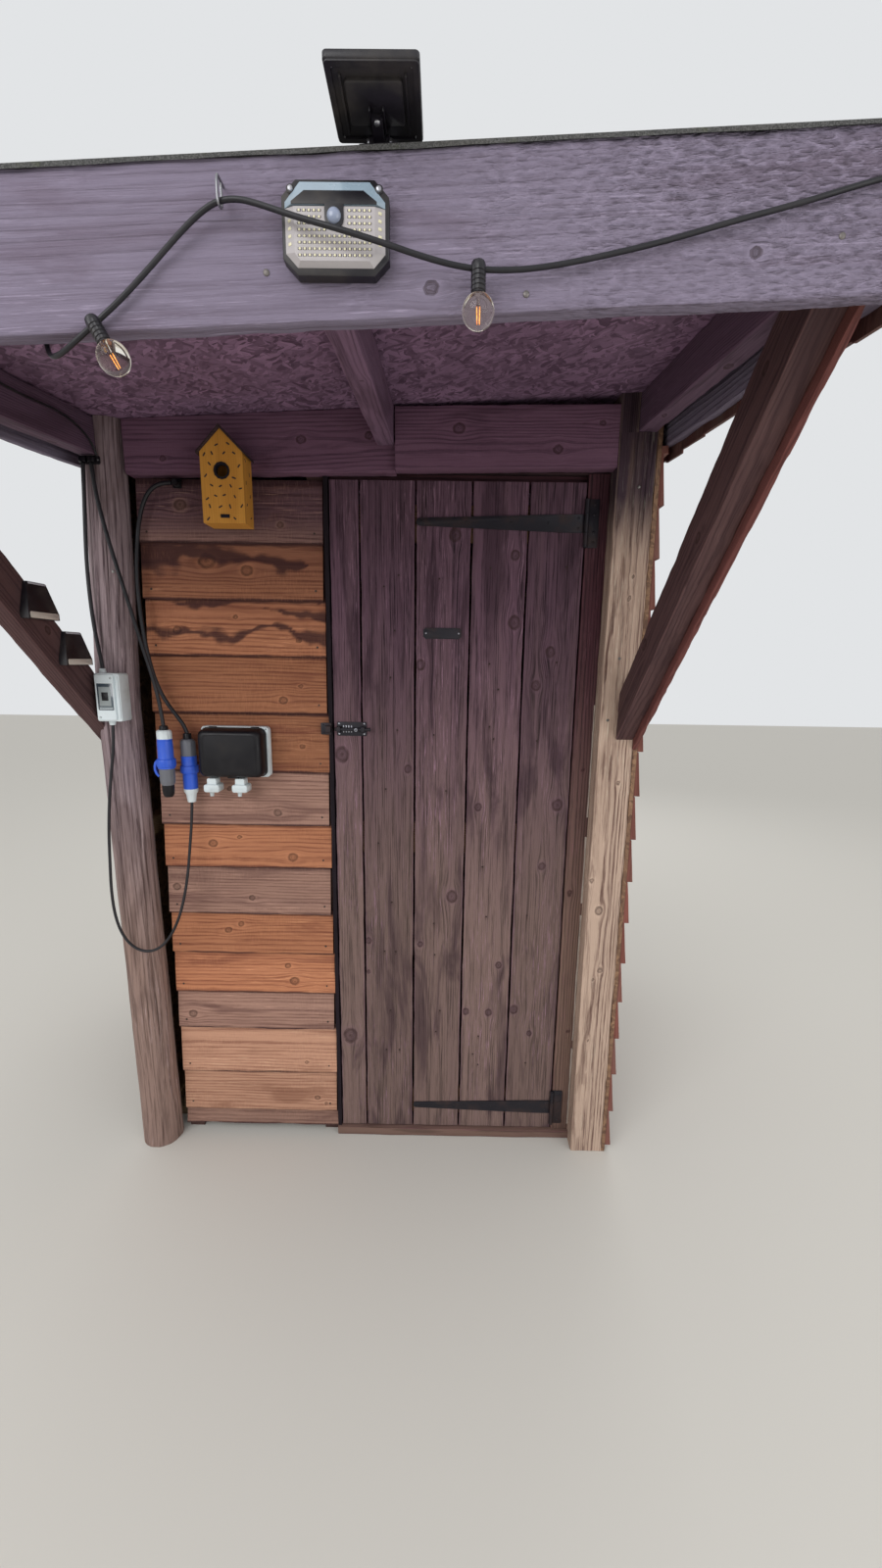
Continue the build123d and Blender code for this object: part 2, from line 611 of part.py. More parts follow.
# Nest box on the header, hollow behind a round hole
BOX_X = (-405.0, -299.0)
BOX_FLOOR = HEADER_Z - 144.0
BOX_EAVES = BOX_FLOOR + 165.0
BOX_APEX = BOX_FLOOR + 218.0
BOX_DEPTH = 68.0
BOX_WALL = 9.0
BOX_HOLE_R = 15.0
BOX_HOLE_Z = BOX_FLOOR + 122.0
BOX_ROOF = 6.0
BOX_BACK = LEFT_HEADER_FRONT - SEAT
BOX_MID = sum(BOX_X) / 2
HEADER_VIEW = Plane(origin=(0, BOX_BACK, 0), x_dir=(1, 0, 0), z_dir=(0, -1, 0))


def gable(inset):
    """Outline of the nest box seen from the front, drawn in by a wall's thickness."""
    return (
        (BOX_X[0] + inset, BOX_FLOOR + inset),
        (BOX_X[1] - inset, BOX_FLOOR + inset),
        (BOX_X[1] - inset, BOX_EAVES - inset / 2),
        (BOX_MID, BOX_APEX - inset),
        (BOX_X[0] + inset, BOX_EAVES - inset / 2),
    )


with BuildPart() as bird_box:
    with BuildSketch(HEADER_VIEW):
        with BuildLine():
            Polyline(*gable(0), close=True)
        make_face()
    extrude(amount=BOX_DEPTH)
    with BuildSketch(HEADER_VIEW.offset(BOX_WALL)):
        with BuildLine():
            Polyline(*gable(BOX_WALL), close=True)
        make_face()
    extrude(amount=BOX_DEPTH - 2 * BOX_WALL, mode=Mode.SUBTRACT)
    with BuildSketch(HEADER_VIEW.offset(BOX_DEPTH - 2 * BOX_WALL)):
        with Locations((BOX_MID, BOX_HOLE_Z)):
            Circle(BOX_HOLE_R)
    extrude(amount=3 * BOX_WALL, mode=Mode.SUBTRACT)
keep(bird_box.part, "bird_box")

with BuildPart() as bird_box_roof:
    eave_slope = (BOX_APEX - BOX_EAVES) / (BOX_X[1] - BOX_MID)
    eave_out = 7.0
    eave_drop = eave_out * eave_slope
    with BuildSketch(HEADER_VIEW):
        with BuildLine():
            Polyline(
                (BOX_X[0] - eave_out, BOX_EAVES - eave_drop + SEAT),
                (BOX_MID, BOX_APEX + SEAT),
                (BOX_X[1] + eave_out, BOX_EAVES - eave_drop + SEAT),
                (BOX_X[1] + eave_out, BOX_EAVES - eave_drop + BOX_ROOF),
                (BOX_MID, BOX_APEX + BOX_ROOF + 2),
                (BOX_X[0] - eave_out, BOX_EAVES - eave_drop + BOX_ROOF),
                close=True,
            )
        make_face()
    extrude(amount=BOX_DEPTH + 8)
keep(bird_box_roof.part, "bird_box_roof")

# Solar security light on the fascia: an octagonal housing with a raised face
LIGHT_CENTRE = (82.0, DECK_Z - 159.0)
LIGHT_SIZE = (120.0, 92.0)
LIGHT_DEPTH = 16.0
LIGHT_FACE = 9.0
LIGHT_CORNER = 16.0
LIGHT_DOME_R = 9.0
FASCIA_VIEW = Plane(origin=(0, FASCIA_FRONT - SEAT, 0), x_dir=(1, 0, 0), z_dir=(0, -1, 0))
with BuildPart() as security_light:
    with BuildSketch(FASCIA_VIEW) as light_outline:
        with Locations(LIGHT_CENTRE):
            Rectangle(*LIGHT_SIZE)
        chamfer(light_outline.vertices(), length=LIGHT_CORNER)
    extrude(amount=LIGHT_DEPTH)
    extrude(light_outline.sketch.moved(Location((0, -LIGHT_DEPTH, 0))), amount=LIGHT_FACE, taper=40)
    with BuildSketch(FASCIA_VIEW.offset(LIGHT_DEPTH)):
        with Locations((LIGHT_CENTRE[0], LIGHT_CENTRE[1] + 14)):
            Circle(LIGHT_DOME_R)
    extrude(amount=LIGHT_FACE + 5)
    fillet(security_light.faces().sort_by(Axis.Y)[0].edges(), radius=4)
keep(security_light.part, "security_light")

# Solar panel on a tilting arm over the fascia
PANEL_LENGTH = 98.0
PANEL_THICK = 8.0
TILT_X = 129.0
TILT_Y = FASCIA_FRONT + 18.0
TILT_Z = DECK_Z - 56.0
PANEL_X = about(TILT_X, PANEL_LENGTH)
PANEL_FRONT = TILT_Y - 86.0
PANEL_Z = TILT_Z + 10.0
TILT_R = 7.0
TILT_PIN_R = 2.5
TILT_ARM = 12.0
TILT_FOOT = 4.0
TILT_CHEEK = 5.0
TILT_GAP = 0.5
with BuildPart() as solar_panel:
    timber(PANEL_X, (PANEL_FRONT, PANEL_FRONT + PANEL_LENGTH), (PANEL_Z, PANEL_Z + PANEL_THICK))
    timber(about(TILT_X, 60), (PANEL_FRONT + 20, TILT_Y - 2 * TILT_R), (PANEL_Z - 4, PANEL_Z))
    timber(about(TILT_X, TILT_ARM), (TILT_Y - 30, TILT_Y), (TILT_Z - TILT_R + 3, PANEL_Z - 1))
    with BuildSketch(Plane.YZ.offset(TILT_X - TILT_ARM / 2)):
        with Locations((TILT_Y, TILT_Z)):
            Circle(TILT_R)
    extrude(amount=TILT_ARM)
    with BuildSketch(Plane.YZ.offset(TILT_X - TILT_ARM)):
        with Locations((TILT_Y, TILT_Z)):
            Circle(TILT_PIN_R + PIN_CLEAR)
    extrude(amount=2 * TILT_ARM, mode=Mode.SUBTRACT)
keep(solar_panel.part, "solar_panel")

with BuildPart() as bracket_foot:
    timber(about(TILT_X, 44), (TILT_Y - 14, TILT_Y + 40), (TILT_Z - 100, ABOVE_ROOF))
    over(-FELT_LOW - FELT_THICK - SEAT)
    under(-FELT_LOW - FELT_THICK - SEAT - TILT_FOOT)
with BuildPart() as panel_bracket:
    cheek_gap = TILT_ARM + 2 * TILT_GAP
    for side in (-1, 1):
        cheek_x = about(TILT_X + side * (cheek_gap + TILT_CHEEK) / 2, TILT_CHEEK)
        with BuildSketch(Plane.YZ.offset(cheek_x[0])):
            with Locations((TILT_Y, TILT_Z)):
                Circle(TILT_R)
            with Locations((TILT_Y, TILT_Z)):
                Rectangle(2 * TILT_R, 4 * TILT_R, align=(Align.CENTER, Align.MAX))
        extrude(amount=TILT_CHEEK)
    with BuildSketch(Plane.YZ.offset(TILT_X - cheek_gap / 2 - TILT_CHEEK)):
        with Locations((TILT_Y, TILT_Z)):
            Circle(TILT_PIN_R)
    extrude(amount=cheek_gap + 2 * TILT_CHEEK)
    over(-FELT_LOW - FELT_THICK - SEAT)
    add(bracket_foot.part)
keep(panel_bracket.part, "panel_bracket")

# Two wedge-shaped lights on the inner face of the left brace
WEDGE_CENTRES = ((-302.0, DECK_Z - 551.0), (-187.0, DECK_Z - 654.0))
WEDGE_TOP = 64.0
WEDGE_BOTTOM = 106.0
WEDGE_HEIGHT = 80.0
WEDGE_DEPTH = 22.0
WEDGE_LEAN = 12.0
WEDGE_LENS = 14.0
with BuildPart() as one_wedge:
    with BuildSketch(Plane.YZ.offset(LEFT_BRACE_X[1] + SEAT)):
        with BuildLine():
            Polyline(
                (-WEDGE_BOTTOM / 2, 0),
                (WEDGE_BOTTOM / 2, 0),
                (WEDGE_BOTTOM / 2, WEDGE_LENS),
                (WEDGE_TOP / 2, WEDGE_HEIGHT),
                (-WEDGE_TOP / 2, WEDGE_HEIGHT),
                (-WEDGE_BOTTOM / 2, WEDGE_LENS),
                close=True,
            )
        make_face()
    extrude(amount=WEDGE_DEPTH)
    wedge_slope = Plane(
        origin=(LEFT_BRACE_X[1] + SEAT + WEDGE_DEPTH, 0, WEDGE_LENS),
        x_dir=(0, 1, 0),
        z_dir=(WEDGE_HEIGHT - WEDGE_LENS, 0, WEDGE_LEAN),
    )
    split(bisect_by=wedge_slope, keep=Keep.BOTTOM)
with BuildPart() as wedge_lights:
    for centre_y, bottom_z in WEDGE_CENTRES:
        add(one_wedge.part.moved(Location((0, centre_y, bottom_z))))
keep(wedge_lights.part, "wedge_lights")

# Weatherproof socket box on the lapped boards, with a plug in each outlet below
SOCKET_X = (-481.0, -289.0)
SOCKET_Z = (1212.0, 1357.0)
SOCKET_DEPTH = 70.0
SOCKET_ROUND = 8.0
SOCKET_LID = 5.0
LAP_FRONT = LAP_BACK - LAP_BUTT
SOCKET_BACK = LAP_FRONT - SEAT
PLUG_CENTRES = (-448.0, -368.0)
PLUG_SIZE = (44.0, 40.0, 40.0)
with BuildPart() as socket_box:
    timber(SOCKET_X, (SOCKET_BACK - SOCKET_DEPTH, SOCKET_BACK), SOCKET_Z)
    fillet(socket_box.edges().filter_by(Axis.Y), radius=SOCKET_ROUND)
    lid_span = (SOCKET_BACK - SOCKET_DEPTH - SOCKET_LID, SOCKET_BACK - SOCKET_DEPTH)
    timber((SOCKET_X[0] + 8, SOCKET_X[1] - 8), lid_span, (SOCKET_Z[0] + 8, SOCKET_Z[1] - 8))
    fillet(socket_box.faces().sort_by(Axis.Y)[0].edges(), radius=SOCKET_LID - 1)
keep(socket_box.part, "socket_box")

with BuildPart() as socket_plugs:
    for plug_x in PLUG_CENTRES:
        plug_low = SOCKET_Z[0] - SEAT - PLUG_SIZE[2]
        timber(about(plug_x, PLUG_SIZE[0]), about(-45, PLUG_SIZE[1]), (plug_low, SOCKET_Z[0] - SEAT))
        with BuildSketch(Plane.XY.offset(plug_low)):
            with Locations((plug_x - 6, -45)):
                Circle(7)
        extrude(amount=-14)
keep(socket_plugs.part, "socket_plugs")

# Two plug-and-socket couplers hanging beside the box: radius and depth below the top
COUPLER_PROFILE = (
    (0, 0),
    (11, 0),
    (12, -18),
    (20, -27),
    (21, -92),
    (26, -95),
    (26, -112),
    (21, -115),
    (20, -160),
    (13, -172),
    (11, -200),
    (0, -200),
)
COUPLERS = ((-562.0, -80.0, 1362.0), (-520.0, -31.0, 1336.0))
COUPLER_LEVER = (12.0, 16.0, 44.0)


def coupler(x, y, top):
    """One coupler: a turned body with its locking lever on the left."""
    with BuildPart() as turned:
        with BuildSketch(Plane(origin=(x, y, top), x_dir=(1, 0, 0), z_dir=(0, -1, 0))):
            with BuildLine():
                Polyline(*COUPLER_PROFILE, close=True)
            make_face()
        revolve(axis=Axis((x, y, top), (0, 0, 1)))
    return turned.part


with BuildPart() as couplers:
    for x, y, top in COUPLERS:
        add(coupler(x, y, top))
    first = COUPLERS[0]
    with Locations((first[0] - 28, first[1], first[2] - 122)):
        Box(*COUPLER_LEVER)
keep(couplers.part, "couplers")

# Small breaker enclosure on the pole, with a gland above and below
BREAKER_X = (-715.0, -648.0)
BREAKER_Z = (1376.0, 1503.0)
BREAKER_BACK = POLE_Y - POLE_SECTIONS[1][2] - SEAT
BREAKER_DEPTH = 54.0
BREAKER_ROUND = 6.0
GLAND_R = 9.0
GLAND_LENGTH = 12.0
TOP_GLAND = (-703.0, -100.0)
LOW_GLAND = (-690.0, -100.0)
with BuildPart() as breaker_box:
    timber(BREAKER_X, (BREAKER_BACK - BREAKER_DEPTH, BREAKER_BACK), BREAKER_Z)
    fillet(breaker_box.edges().filter_by(Axis.Y), radius=BREAKER_ROUND)
    fillet(breaker_box.faces().sort_by(Axis.Y)[0].edges(), radius=BREAKER_ROUND - 2)
    with BuildSketch(Plane.XY.offset(BREAKER_Z[1])):
        with Locations(TOP_GLAND):
            Circle(GLAND_R)
    extrude(amount=GLAND_LENGTH)
    with BuildSketch(Plane.XY.offset(BREAKER_Z[0])):
        with Locations(LOW_GLAND):
            Circle(GLAND_R)
    extrude(amount=-GLAND_LENGTH)
keep(breaker_box.part, "breaker_box")

# Saddle on the pole, entry on the boards, and the clips that end the string of lamps
SADDLE_X = (-722.0, -670.0)
SADDLE_TOP = DECK_Z - RAFTER_DEPTH - 46.0
SADDLE_Z = (SADDLE_TOP - 20.0, SADDLE_TOP)
SADDLE_Y = (-86.0, -72.8)
ENTRY_X = (-520.0, -496.0)
ENTRY_Y = (-26.0, 2.0)
ENTRY_Z = (HEADER_Z - 38.0, HEADER_Z - 14.0)
LEFT_CLIP = ((-300.0, -280.0), (CANOPY_FRONT + SEAT, CANOPY_FRONT + 14), (DECK_Z - 240, DECK_Z - 220))
RIGHT_CLIP_X = (ROOF_RIGHT - 42, ROOF_RIGHT - 26)
RIGHT_CLIP = (RIGHT_CLIP_X, (FASCIA_FRONT - 14, FASCIA_FRONT - SEAT), (DECK_Z - 98, DECK_Z - 80))
with BuildPart() as cable_clips:
    timber(SADDLE_X, SADDLE_Y, SADDLE_Z)
    timber(ENTRY_X, ENTRY_Y, ENTRY_Z)
    timber(*LEFT_CLIP)
    timber(*RIGHT_CLIP)
keep(cable_clips.part, "cable_clips")


def turn_radii(points):
    """Bend radius at each inner point: 0.45 of its shorter run over the half turn's tangent."""
    radii = []
    for before, here, after in zip(points, points[1:], points[2:]):
        run_in = Vector(*here) - Vector(*before)
        run_out = Vector(*after) - Vector(*here)
        half_turn = radians(run_in.get_angle(run_out)) / 2
        radii.append(0.45 * min(run_in.length, run_out.length) / tan(half_turn))
    return radii


def cable(points, diameter, name):
    """A round cable through these points, bent at each inner one."""
    radii = turn_radii(points)
    with BuildPart() as tube:
        with BuildLine() as route:
            FilletPolyline(*points, radius=radii)
        start = Plane(origin=points[0], z_dir=Vector(*points[1]) - Vector(*points[0]))
        with BuildSketch(start):
            Circle(diameter / 2)
        sweep()
    length = sum(edge.length for edge in route.edges())
    section = tube.part.volume / length / diameter**2
    print(name, "length", round(length), "least bend", round(min(radii)), "section", round(section, 4))
    return tube.part


# Supply cables down the pole and the lead along the left rafter
SUPPLY_DIAMETER = 10.0
LEAD_DIAMETER = 5.0
BREAKER_FEED = (
    (-712, -80, 2022),
    (-716, -79, 1962),
    (-723, -78, 1880),
    (-729, -78, 1792),
    (-729, -80, 1704),
    (-723, -85, 1625),
    (-712, -93, 1566),
    (-704, -98, 1530),
    (-703, -100, 1515),
)
COUPLER_FEED = (
    (-690, -81, 2022),
    (-686, -84, 1966),
    (-673, -86, 1892),
    (-656, -86, 1812),
    (-637, -85, 1732),
    (-619, -82, 1652),
    (-601, -80, 1573),
    (-581, -80, 1494),
    (-567, -80, 1424),
    (-562, -80, 1362),
)
RAFTER_LEAD = (
    (-300, -872, 1948),
    (-340, -872, 1952),
    (-392, -873, 1966),
    (-450, -873, 1972),
    (-512, -873, 1984),
    (-572, -872, 1988),
    (-628, -868, 1998),
    (-664, -846, 2010),
    (-675, -806, 2018),
    (-677, -752, 2026),
    (-676, -690, 2038),
    (-677, -624, 2047),
    (-676, -556, 2052),
    (-677, -488, 2062),
    (-676, -420, 2071),
    (-677, -352, 2075),
    (-676, -284, 2083),
    (-676, -216, 2091),
    (-677, -158, 2088),
    (-676, -116, 2077),
    (-675, -90, 2060),
    (-675, -80, 2042),
)

# Cable from the entry under the header down to the second coupler
WALL_CABLE_DIAMETER = 11.0
WALL_CABLE = (
    (-520, -14, 1998),
    (-548, -14, 1997),
    (-578, -15, 1981),
    (-599, -17, 1946),
    (-613, -20, 1896),
    (-622, -23, 1832),
    (-627, -26, 1760),
    (-626, -28, 1688),
    (-621, -30, 1616),
    (-612, -31, 1546),
    (-598, -32, 1482),
    (-574, -32, 1426),
    (-544, -32, 1384),
    (-525, -31, 1355),
    (-520, -31, 1336),
)
with BuildPart() as supply_cables:
    add(cable(BREAKER_FEED, SUPPLY_DIAMETER, "breaker feed"))
    add(cable(COUPLER_FEED, SUPPLY_DIAMETER, "coupler feed"))
    add(cable(RAFTER_LEAD, LEAD_DIAMETER, "rafter lead"))
    add(cable(WALL_CABLE, WALL_CABLE_DIAMETER, "wall cable"))
keep(supply_cables.part, "supply_cables")

# Slack loop from the breaker enclosure round to the second coupler
LOOP_DIAMETER = 8.0
LOOP_CABLE = (
    (-690, -100, 1364),
    (-692, -101, 1310),
    (-708, -101, 1228),
    (-722, -100, 1146),
    (-732, -100, 1060),
    (-738, -99, 972),
    (-743, -99, 888),
    (-741, -98, 812),
    (-727, -98, 752),
    (-700, -97, 710),
    (-662, -96, 692),
    (-622, -94, 702),
    (-588, -90, 738),
    (-562, -82, 792),
    (-545, -71, 858),
    (-535, -58, 930),
    (-529, -46, 1006),
    (-523, -36, 1078),
    (-520, -31, 1136),
)
with BuildPart() as loop_cable:
    add(cable(LOOP_CABLE, LOOP_DIAMETER, "loop cable"))
keep(loop_cable.part, "loop_cable")

# Eye hook in the fascia that lifts the string of lamps
EYE_X = -46.0
EYE_Y = -921.0
EYE_Z = DECK_Z - 133.8
EYE_R = 7.0
EYE_WIRE = 1.5
with BuildPart() as eye_hook:
    with BuildLine(Plane.YZ.offset(EYE_X)):
        shank = Line((FASCIA_FRONT - SEAT, EYE_Z + EYE_R), (EYE_Y, EYE_Z + EYE_R))
        CenterArc((EYE_Y, EYE_Z), EYE_R, 90, 270)
    with BuildSketch(Plane(origin=shank @ 0, z_dir=(0, -1, 0))):
        Circle(EYE_WIRE)
    sweep()
keep(eye_hook.part, "eye_hook")

# String of lamps along the fascia: its cord, two lamp holders and two globes
FESTOON_DIAMETER = 6.0
FESTOON = (
    (-288, -871, 1938),
    (-287, -872, 1919),
    (-277, -881, 1904),
    (-256, -896, 1901),
    (-232, -907, 1909),
    (-203, -912, 1926),
    (-170, -912, 1951),
    (-136, -912, 1981),
    (-104, -914, 2009),
    (-75, -917, 2031),
    (-50, -921, 2043),
    (-24, -925, 2043),
    (6, -930, 2033),
    (42, -938, 2018),
    (88, -942, 2005),
    (136, -941, 1993),
    (180, -934, 1984),
    (222, -926, 1979),
    (262, -920, 1979),
    (312, -914, 1985),
    (380, -912, 1998),
    (456, -911, 2015),
    (532, -912, 2035),
    (604, -911, 2053),
    (664, -911, 2070),
    (708, -911, 2081),
    (742, -911, 2089),
)
with BuildPart() as festoon_cord:
    add(cable(FESTOON, FESTOON_DIAMETER, "festoon"))
keep(festoon_cord.part, "festoon_cord")

HOLDER_R = 8.5
HOLDER_ABOVE = 7.0
HOLDER_LENGTH = 28.0
GLOBE_R = 18.5
GLOBE_NECK_R = 7.0
GLOBE_DROP = 44.0
LAMPS = (((-203.0, -914.5, 1925.0), (0.5, -0.1, -0.86)), ((243.0, -923.5, 1979.0), (0.02, -0.06, -1.0)))
with BuildPart() as lamp_holders:
    for point, direction in LAMPS:
        hang = Plane(origin=point, z_dir=direction)
        with BuildSketch(hang.offset(-HOLDER_ABOVE)):
            Circle(HOLDER_R)
        extrude(amount=HOLDER_ABOVE + HOLDER_LENGTH)
keep(lamp_holders.part, "lamp_holders")

with BuildPart() as lamp_globes:
    for point, direction in LAMPS:
        hang = Plane(origin=point, z_dir=direction)
        with BuildSketch(hang.offset(HOLDER_LENGTH + SEAT)):
            Circle(GLOBE_NECK_R)
        extrude(amount=GLOBE_DROP - HOLDER_LENGTH)
        with Locations(hang.offset(GLOBE_DROP).location):
            Sphere(GLOBE_R)
        with BuildSketch(hang.offset(-HOLDER_ABOVE)):
            Circle(2 * GLOBE_R)
        extrude(amount=HOLDER_ABOVE + HOLDER_LENGTH + SEAT, mode=Mode.SUBTRACT)
keep(lamp_globes.part, "lamp_globes")

print(len(pieces), "pieces")
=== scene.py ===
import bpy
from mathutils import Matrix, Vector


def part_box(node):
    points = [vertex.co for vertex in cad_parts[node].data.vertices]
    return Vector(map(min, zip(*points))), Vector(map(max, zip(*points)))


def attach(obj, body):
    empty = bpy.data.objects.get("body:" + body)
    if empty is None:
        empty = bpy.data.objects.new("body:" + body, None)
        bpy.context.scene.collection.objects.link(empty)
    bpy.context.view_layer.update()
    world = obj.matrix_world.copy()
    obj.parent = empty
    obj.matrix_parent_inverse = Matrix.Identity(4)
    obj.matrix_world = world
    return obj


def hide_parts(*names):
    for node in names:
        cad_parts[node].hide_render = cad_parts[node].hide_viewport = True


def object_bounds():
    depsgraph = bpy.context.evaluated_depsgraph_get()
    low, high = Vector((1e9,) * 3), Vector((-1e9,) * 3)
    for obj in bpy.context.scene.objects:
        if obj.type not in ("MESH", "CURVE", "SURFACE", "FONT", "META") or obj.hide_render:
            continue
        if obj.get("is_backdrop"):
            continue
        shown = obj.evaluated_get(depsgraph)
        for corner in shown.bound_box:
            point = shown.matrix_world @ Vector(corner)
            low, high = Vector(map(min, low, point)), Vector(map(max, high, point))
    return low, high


bl_info = {
    "name": "Timber Outhouse",
    "version": (1, 0, 0),
    "blender": (4, 5, 0),
    "location": "3D View > Sidebar > Outhouse",
    "description": "Boards, shingles, ironwork and fittings of a small timber outhouse, built round its CAD frame",
    "category": "Add Mesh",
}

from math import cos, pi, radians, sin, tan

import bmesh
import bpy
import numpy as np

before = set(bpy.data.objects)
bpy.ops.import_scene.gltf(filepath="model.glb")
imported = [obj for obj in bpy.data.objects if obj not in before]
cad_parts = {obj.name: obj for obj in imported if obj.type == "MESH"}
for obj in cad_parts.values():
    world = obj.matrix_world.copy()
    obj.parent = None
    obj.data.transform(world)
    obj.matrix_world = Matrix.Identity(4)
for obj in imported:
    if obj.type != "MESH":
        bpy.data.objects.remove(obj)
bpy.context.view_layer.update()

# Roof: height of the roof boards' underside at the origin, how it rises to the right and to the back, and where the
# rafters begin and end
DECK_HEIGHT, RISE_RIGHT, RISE_BACK = 2.178, 0.05, 0.10
ROOF_FRONT, ROOF_BACK = -0.8797, 1.2
# How far below the roof boards the timbers end that stand under them, and those that stand under a rafter
UNDER_BOARDS, UNDER_RAFTER = 0.0003, 0.0903
HEADER_HEIGHT, HEADER_RISE = 2.024, 0.018
SILL_TOP = 0.0283
WAVE_PERIOD = 0.314  # of the wave texture at scale 1
ROOF_UP = np.array((-RISE_RIGHT, -RISE_BACK, 1.0))
X, Y, Z = np.eye(3)


def rgb(red, green, blue):
    """Linear colour of a finish whose screen values from 0 to 255 are known: the screen curve undone."""
    screen = np.array((red, green, blue)) / 255
    linear = np.where(screen <= 0.04045, screen / 12.92, ((screen + 0.055) / 1.055) ** 2.4)
    return tuple(float(v) for v in linear)


def below_roof(drop):
    """The plane this far below the roof boards' underside, as a point on it and its normal."""
    return np.array((0, 0, DECK_HEIGHT - drop)), ROOF_UP


def cut_at(distance, axis=X):
    """The plane square to an axis at this distance from the origin."""
    return distance * axis, axis


def roof_at(x, y):
    """Height of the roof boards' underside over a point of the ground."""
    return DECK_HEIGHT + RISE_RIGHT * x + RISE_BACK * y


def ripple(a, b, seed, reach, height):
    """Gentle unevenness over two coordinates: the sum of six sine waves whose directions, lengths (about reach)
    and starts come from a seed, scaled so that it seldom passes height."""
    draw = np.random.default_rng(seed)
    total = np.zeros(np.broadcast(a, b).shape)
    for _ in range(6):
        turn = draw.uniform(0, 2 * pi)
        pace = 2 * pi / (reach * draw.uniform(0.5, 1.6))
        total = total + np.sin(pace * (a * cos(turn) + b * sin(turn)) + draw.uniform(0, 2 * pi))
    return total * height / 3.5


def squared_ring(width, depth, ease, front, sides, back):
    """Outline of a squared timber's end, as (across, through) pairs: four straight sides, the front one at
    through = -depth / 2, whose arrises are eased by one point on a quarter circle. front, sides and back are the
    steps of each side. Gives the points, their outward directions and how near each is to an arris, 1 on it."""
    half = np.array((width / 2 - ease, depth / 2 - ease))
    corners = np.array(((-1, -1), (1, -1), (1, 1), (-1, 1)), float)
    outward = np.array(((0, -1), (1, 0), (0, 1), (-1, 0)), float)
    points, normals = [], []
    for side, steps in enumerate((front, sides, back, sides)):
        share = np.linspace(0, 1, steps + 1)[:, None]
        a, b = corners[side] * half, corners[(side + 1) % 4] * half
        points.append(a + (b - a) * share + outward[side] * ease)
        normals.append(np.repeat(outward[side][None], steps + 1, axis=0))
        eased = (outward[side] + outward[(side + 1) % 4]) / np.sqrt(2)
        points.append((b + eased * ease)[None])
        normals.append(eased[None])
    points, normals = np.concatenate(points), np.concatenate(normals)
    inset = np.maximum(width / 2 - abs(points[:, 0]), depth / 2 - abs(points[:, 1]))
    return points, normals, np.exp(-inset / 0.004)


class Pile:
    """Tubes and sheets gathered into one mesh, with what the finish reads at each point: its place in its own
    timber (grain), how light the timber is (tone), and its knots, nail stains and wear (mark)."""

    def __init__(self):
        self.points, self.faces, self.grain, self.tone, self.mark = [], [], [], [], []
        self.count = 0

    def grid(self, points, grain=None, tone=0.5, mark=None, capped=True):
        """Adds a grid of points (rows, columns, 3) as quads, with its last column joined to its first. A capped one
        has a face across its first row and its last."""
        rows, columns = points.shape[:2]
        first = self.count + np.arange(rows - 1)[:, None] * columns
        here = np.arange(columns)
        after = (here + 1) % columns
        quads = np.stack((first + here, first + after, first + columns + after, first + columns + here), axis=-1)
        self.faces += quads.reshape(-1, 4).tolist()
        if capped:
            self.faces.append((self.count + np.arange(columns)[::-1]).tolist())
            self.faces.append((self.count + (rows - 1) * columns + np.arange(columns)).tolist())
        flat = points.reshape(-1, 3)
        self.points.append(flat)
        self.grain.append(flat if grain is None else grain.reshape(-1, 3))
        self.mark.append(np.zeros((len(flat), 3)) if mark is None else mark.reshape(-1, 3))
        self.tone.append(np.full(len(flat), tone))
        self.count += len(flat)

    def piece(self, name, material, slot, *nodes, body="hut", sharp=38):
        """Makes the mesh object, turns its faces outwards, smooths all but its edges of more than sharp degrees, and
        puts it in the frame."""
        mesh = bpy.data.meshes.new(name)
        mesh.from_pydata(np.concatenate(self.points), [], self.faces)
        for label, kind, field, data in (
            ("grain", "FLOAT_VECTOR", "vector", self.grain),
            ("mark", "FLOAT_VECTOR", "vector", self.mark),
            ("tone", "FLOAT", "value", self.tone),
        ):
            values = np.concatenate(data).astype(np.float32).ravel()
            mesh.attributes.new(label, kind, "POINT").data.foreach_set(field, values)
        shell = bmesh.new()
        shell.from_mesh(mesh)
        bmesh.ops.recalc_face_normals(shell, faces=shell.faces)
        shell.to_mesh(mesh)
        shell.free()
        mesh.polygons.foreach_set("use_smooth", np.ones(len(mesh.polygons), bool))
        mesh.set_sharp_from_angle(angle=radians(sharp))
        mesh.update()
        made = bpy.data.objects.new(name, mesh)
        return fitted(made, material, body, slot, *nodes)


def fitted(made, material, body, slot, *nodes):
    """Links a finished object, gives it its material and body, and hides the CAD nodes it stands for. slot is not used.
    """
    bpy.context.scene.collection.objects.link(made)
    made.data.materials.append(material)
    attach(made, body)
    if nodes:
        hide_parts(*nodes)
    return made


def reach(base, along, cut):
    """Distance along each line from its base point to a cut, which is a number or a plane (point, normal)."""
    if np.isscalar(cut):
        return np.full(len(base), float(cut))
    point, normal = (np.asarray(v, float) for v in cut)
    return (point - base) @ normal / (along @ normal)


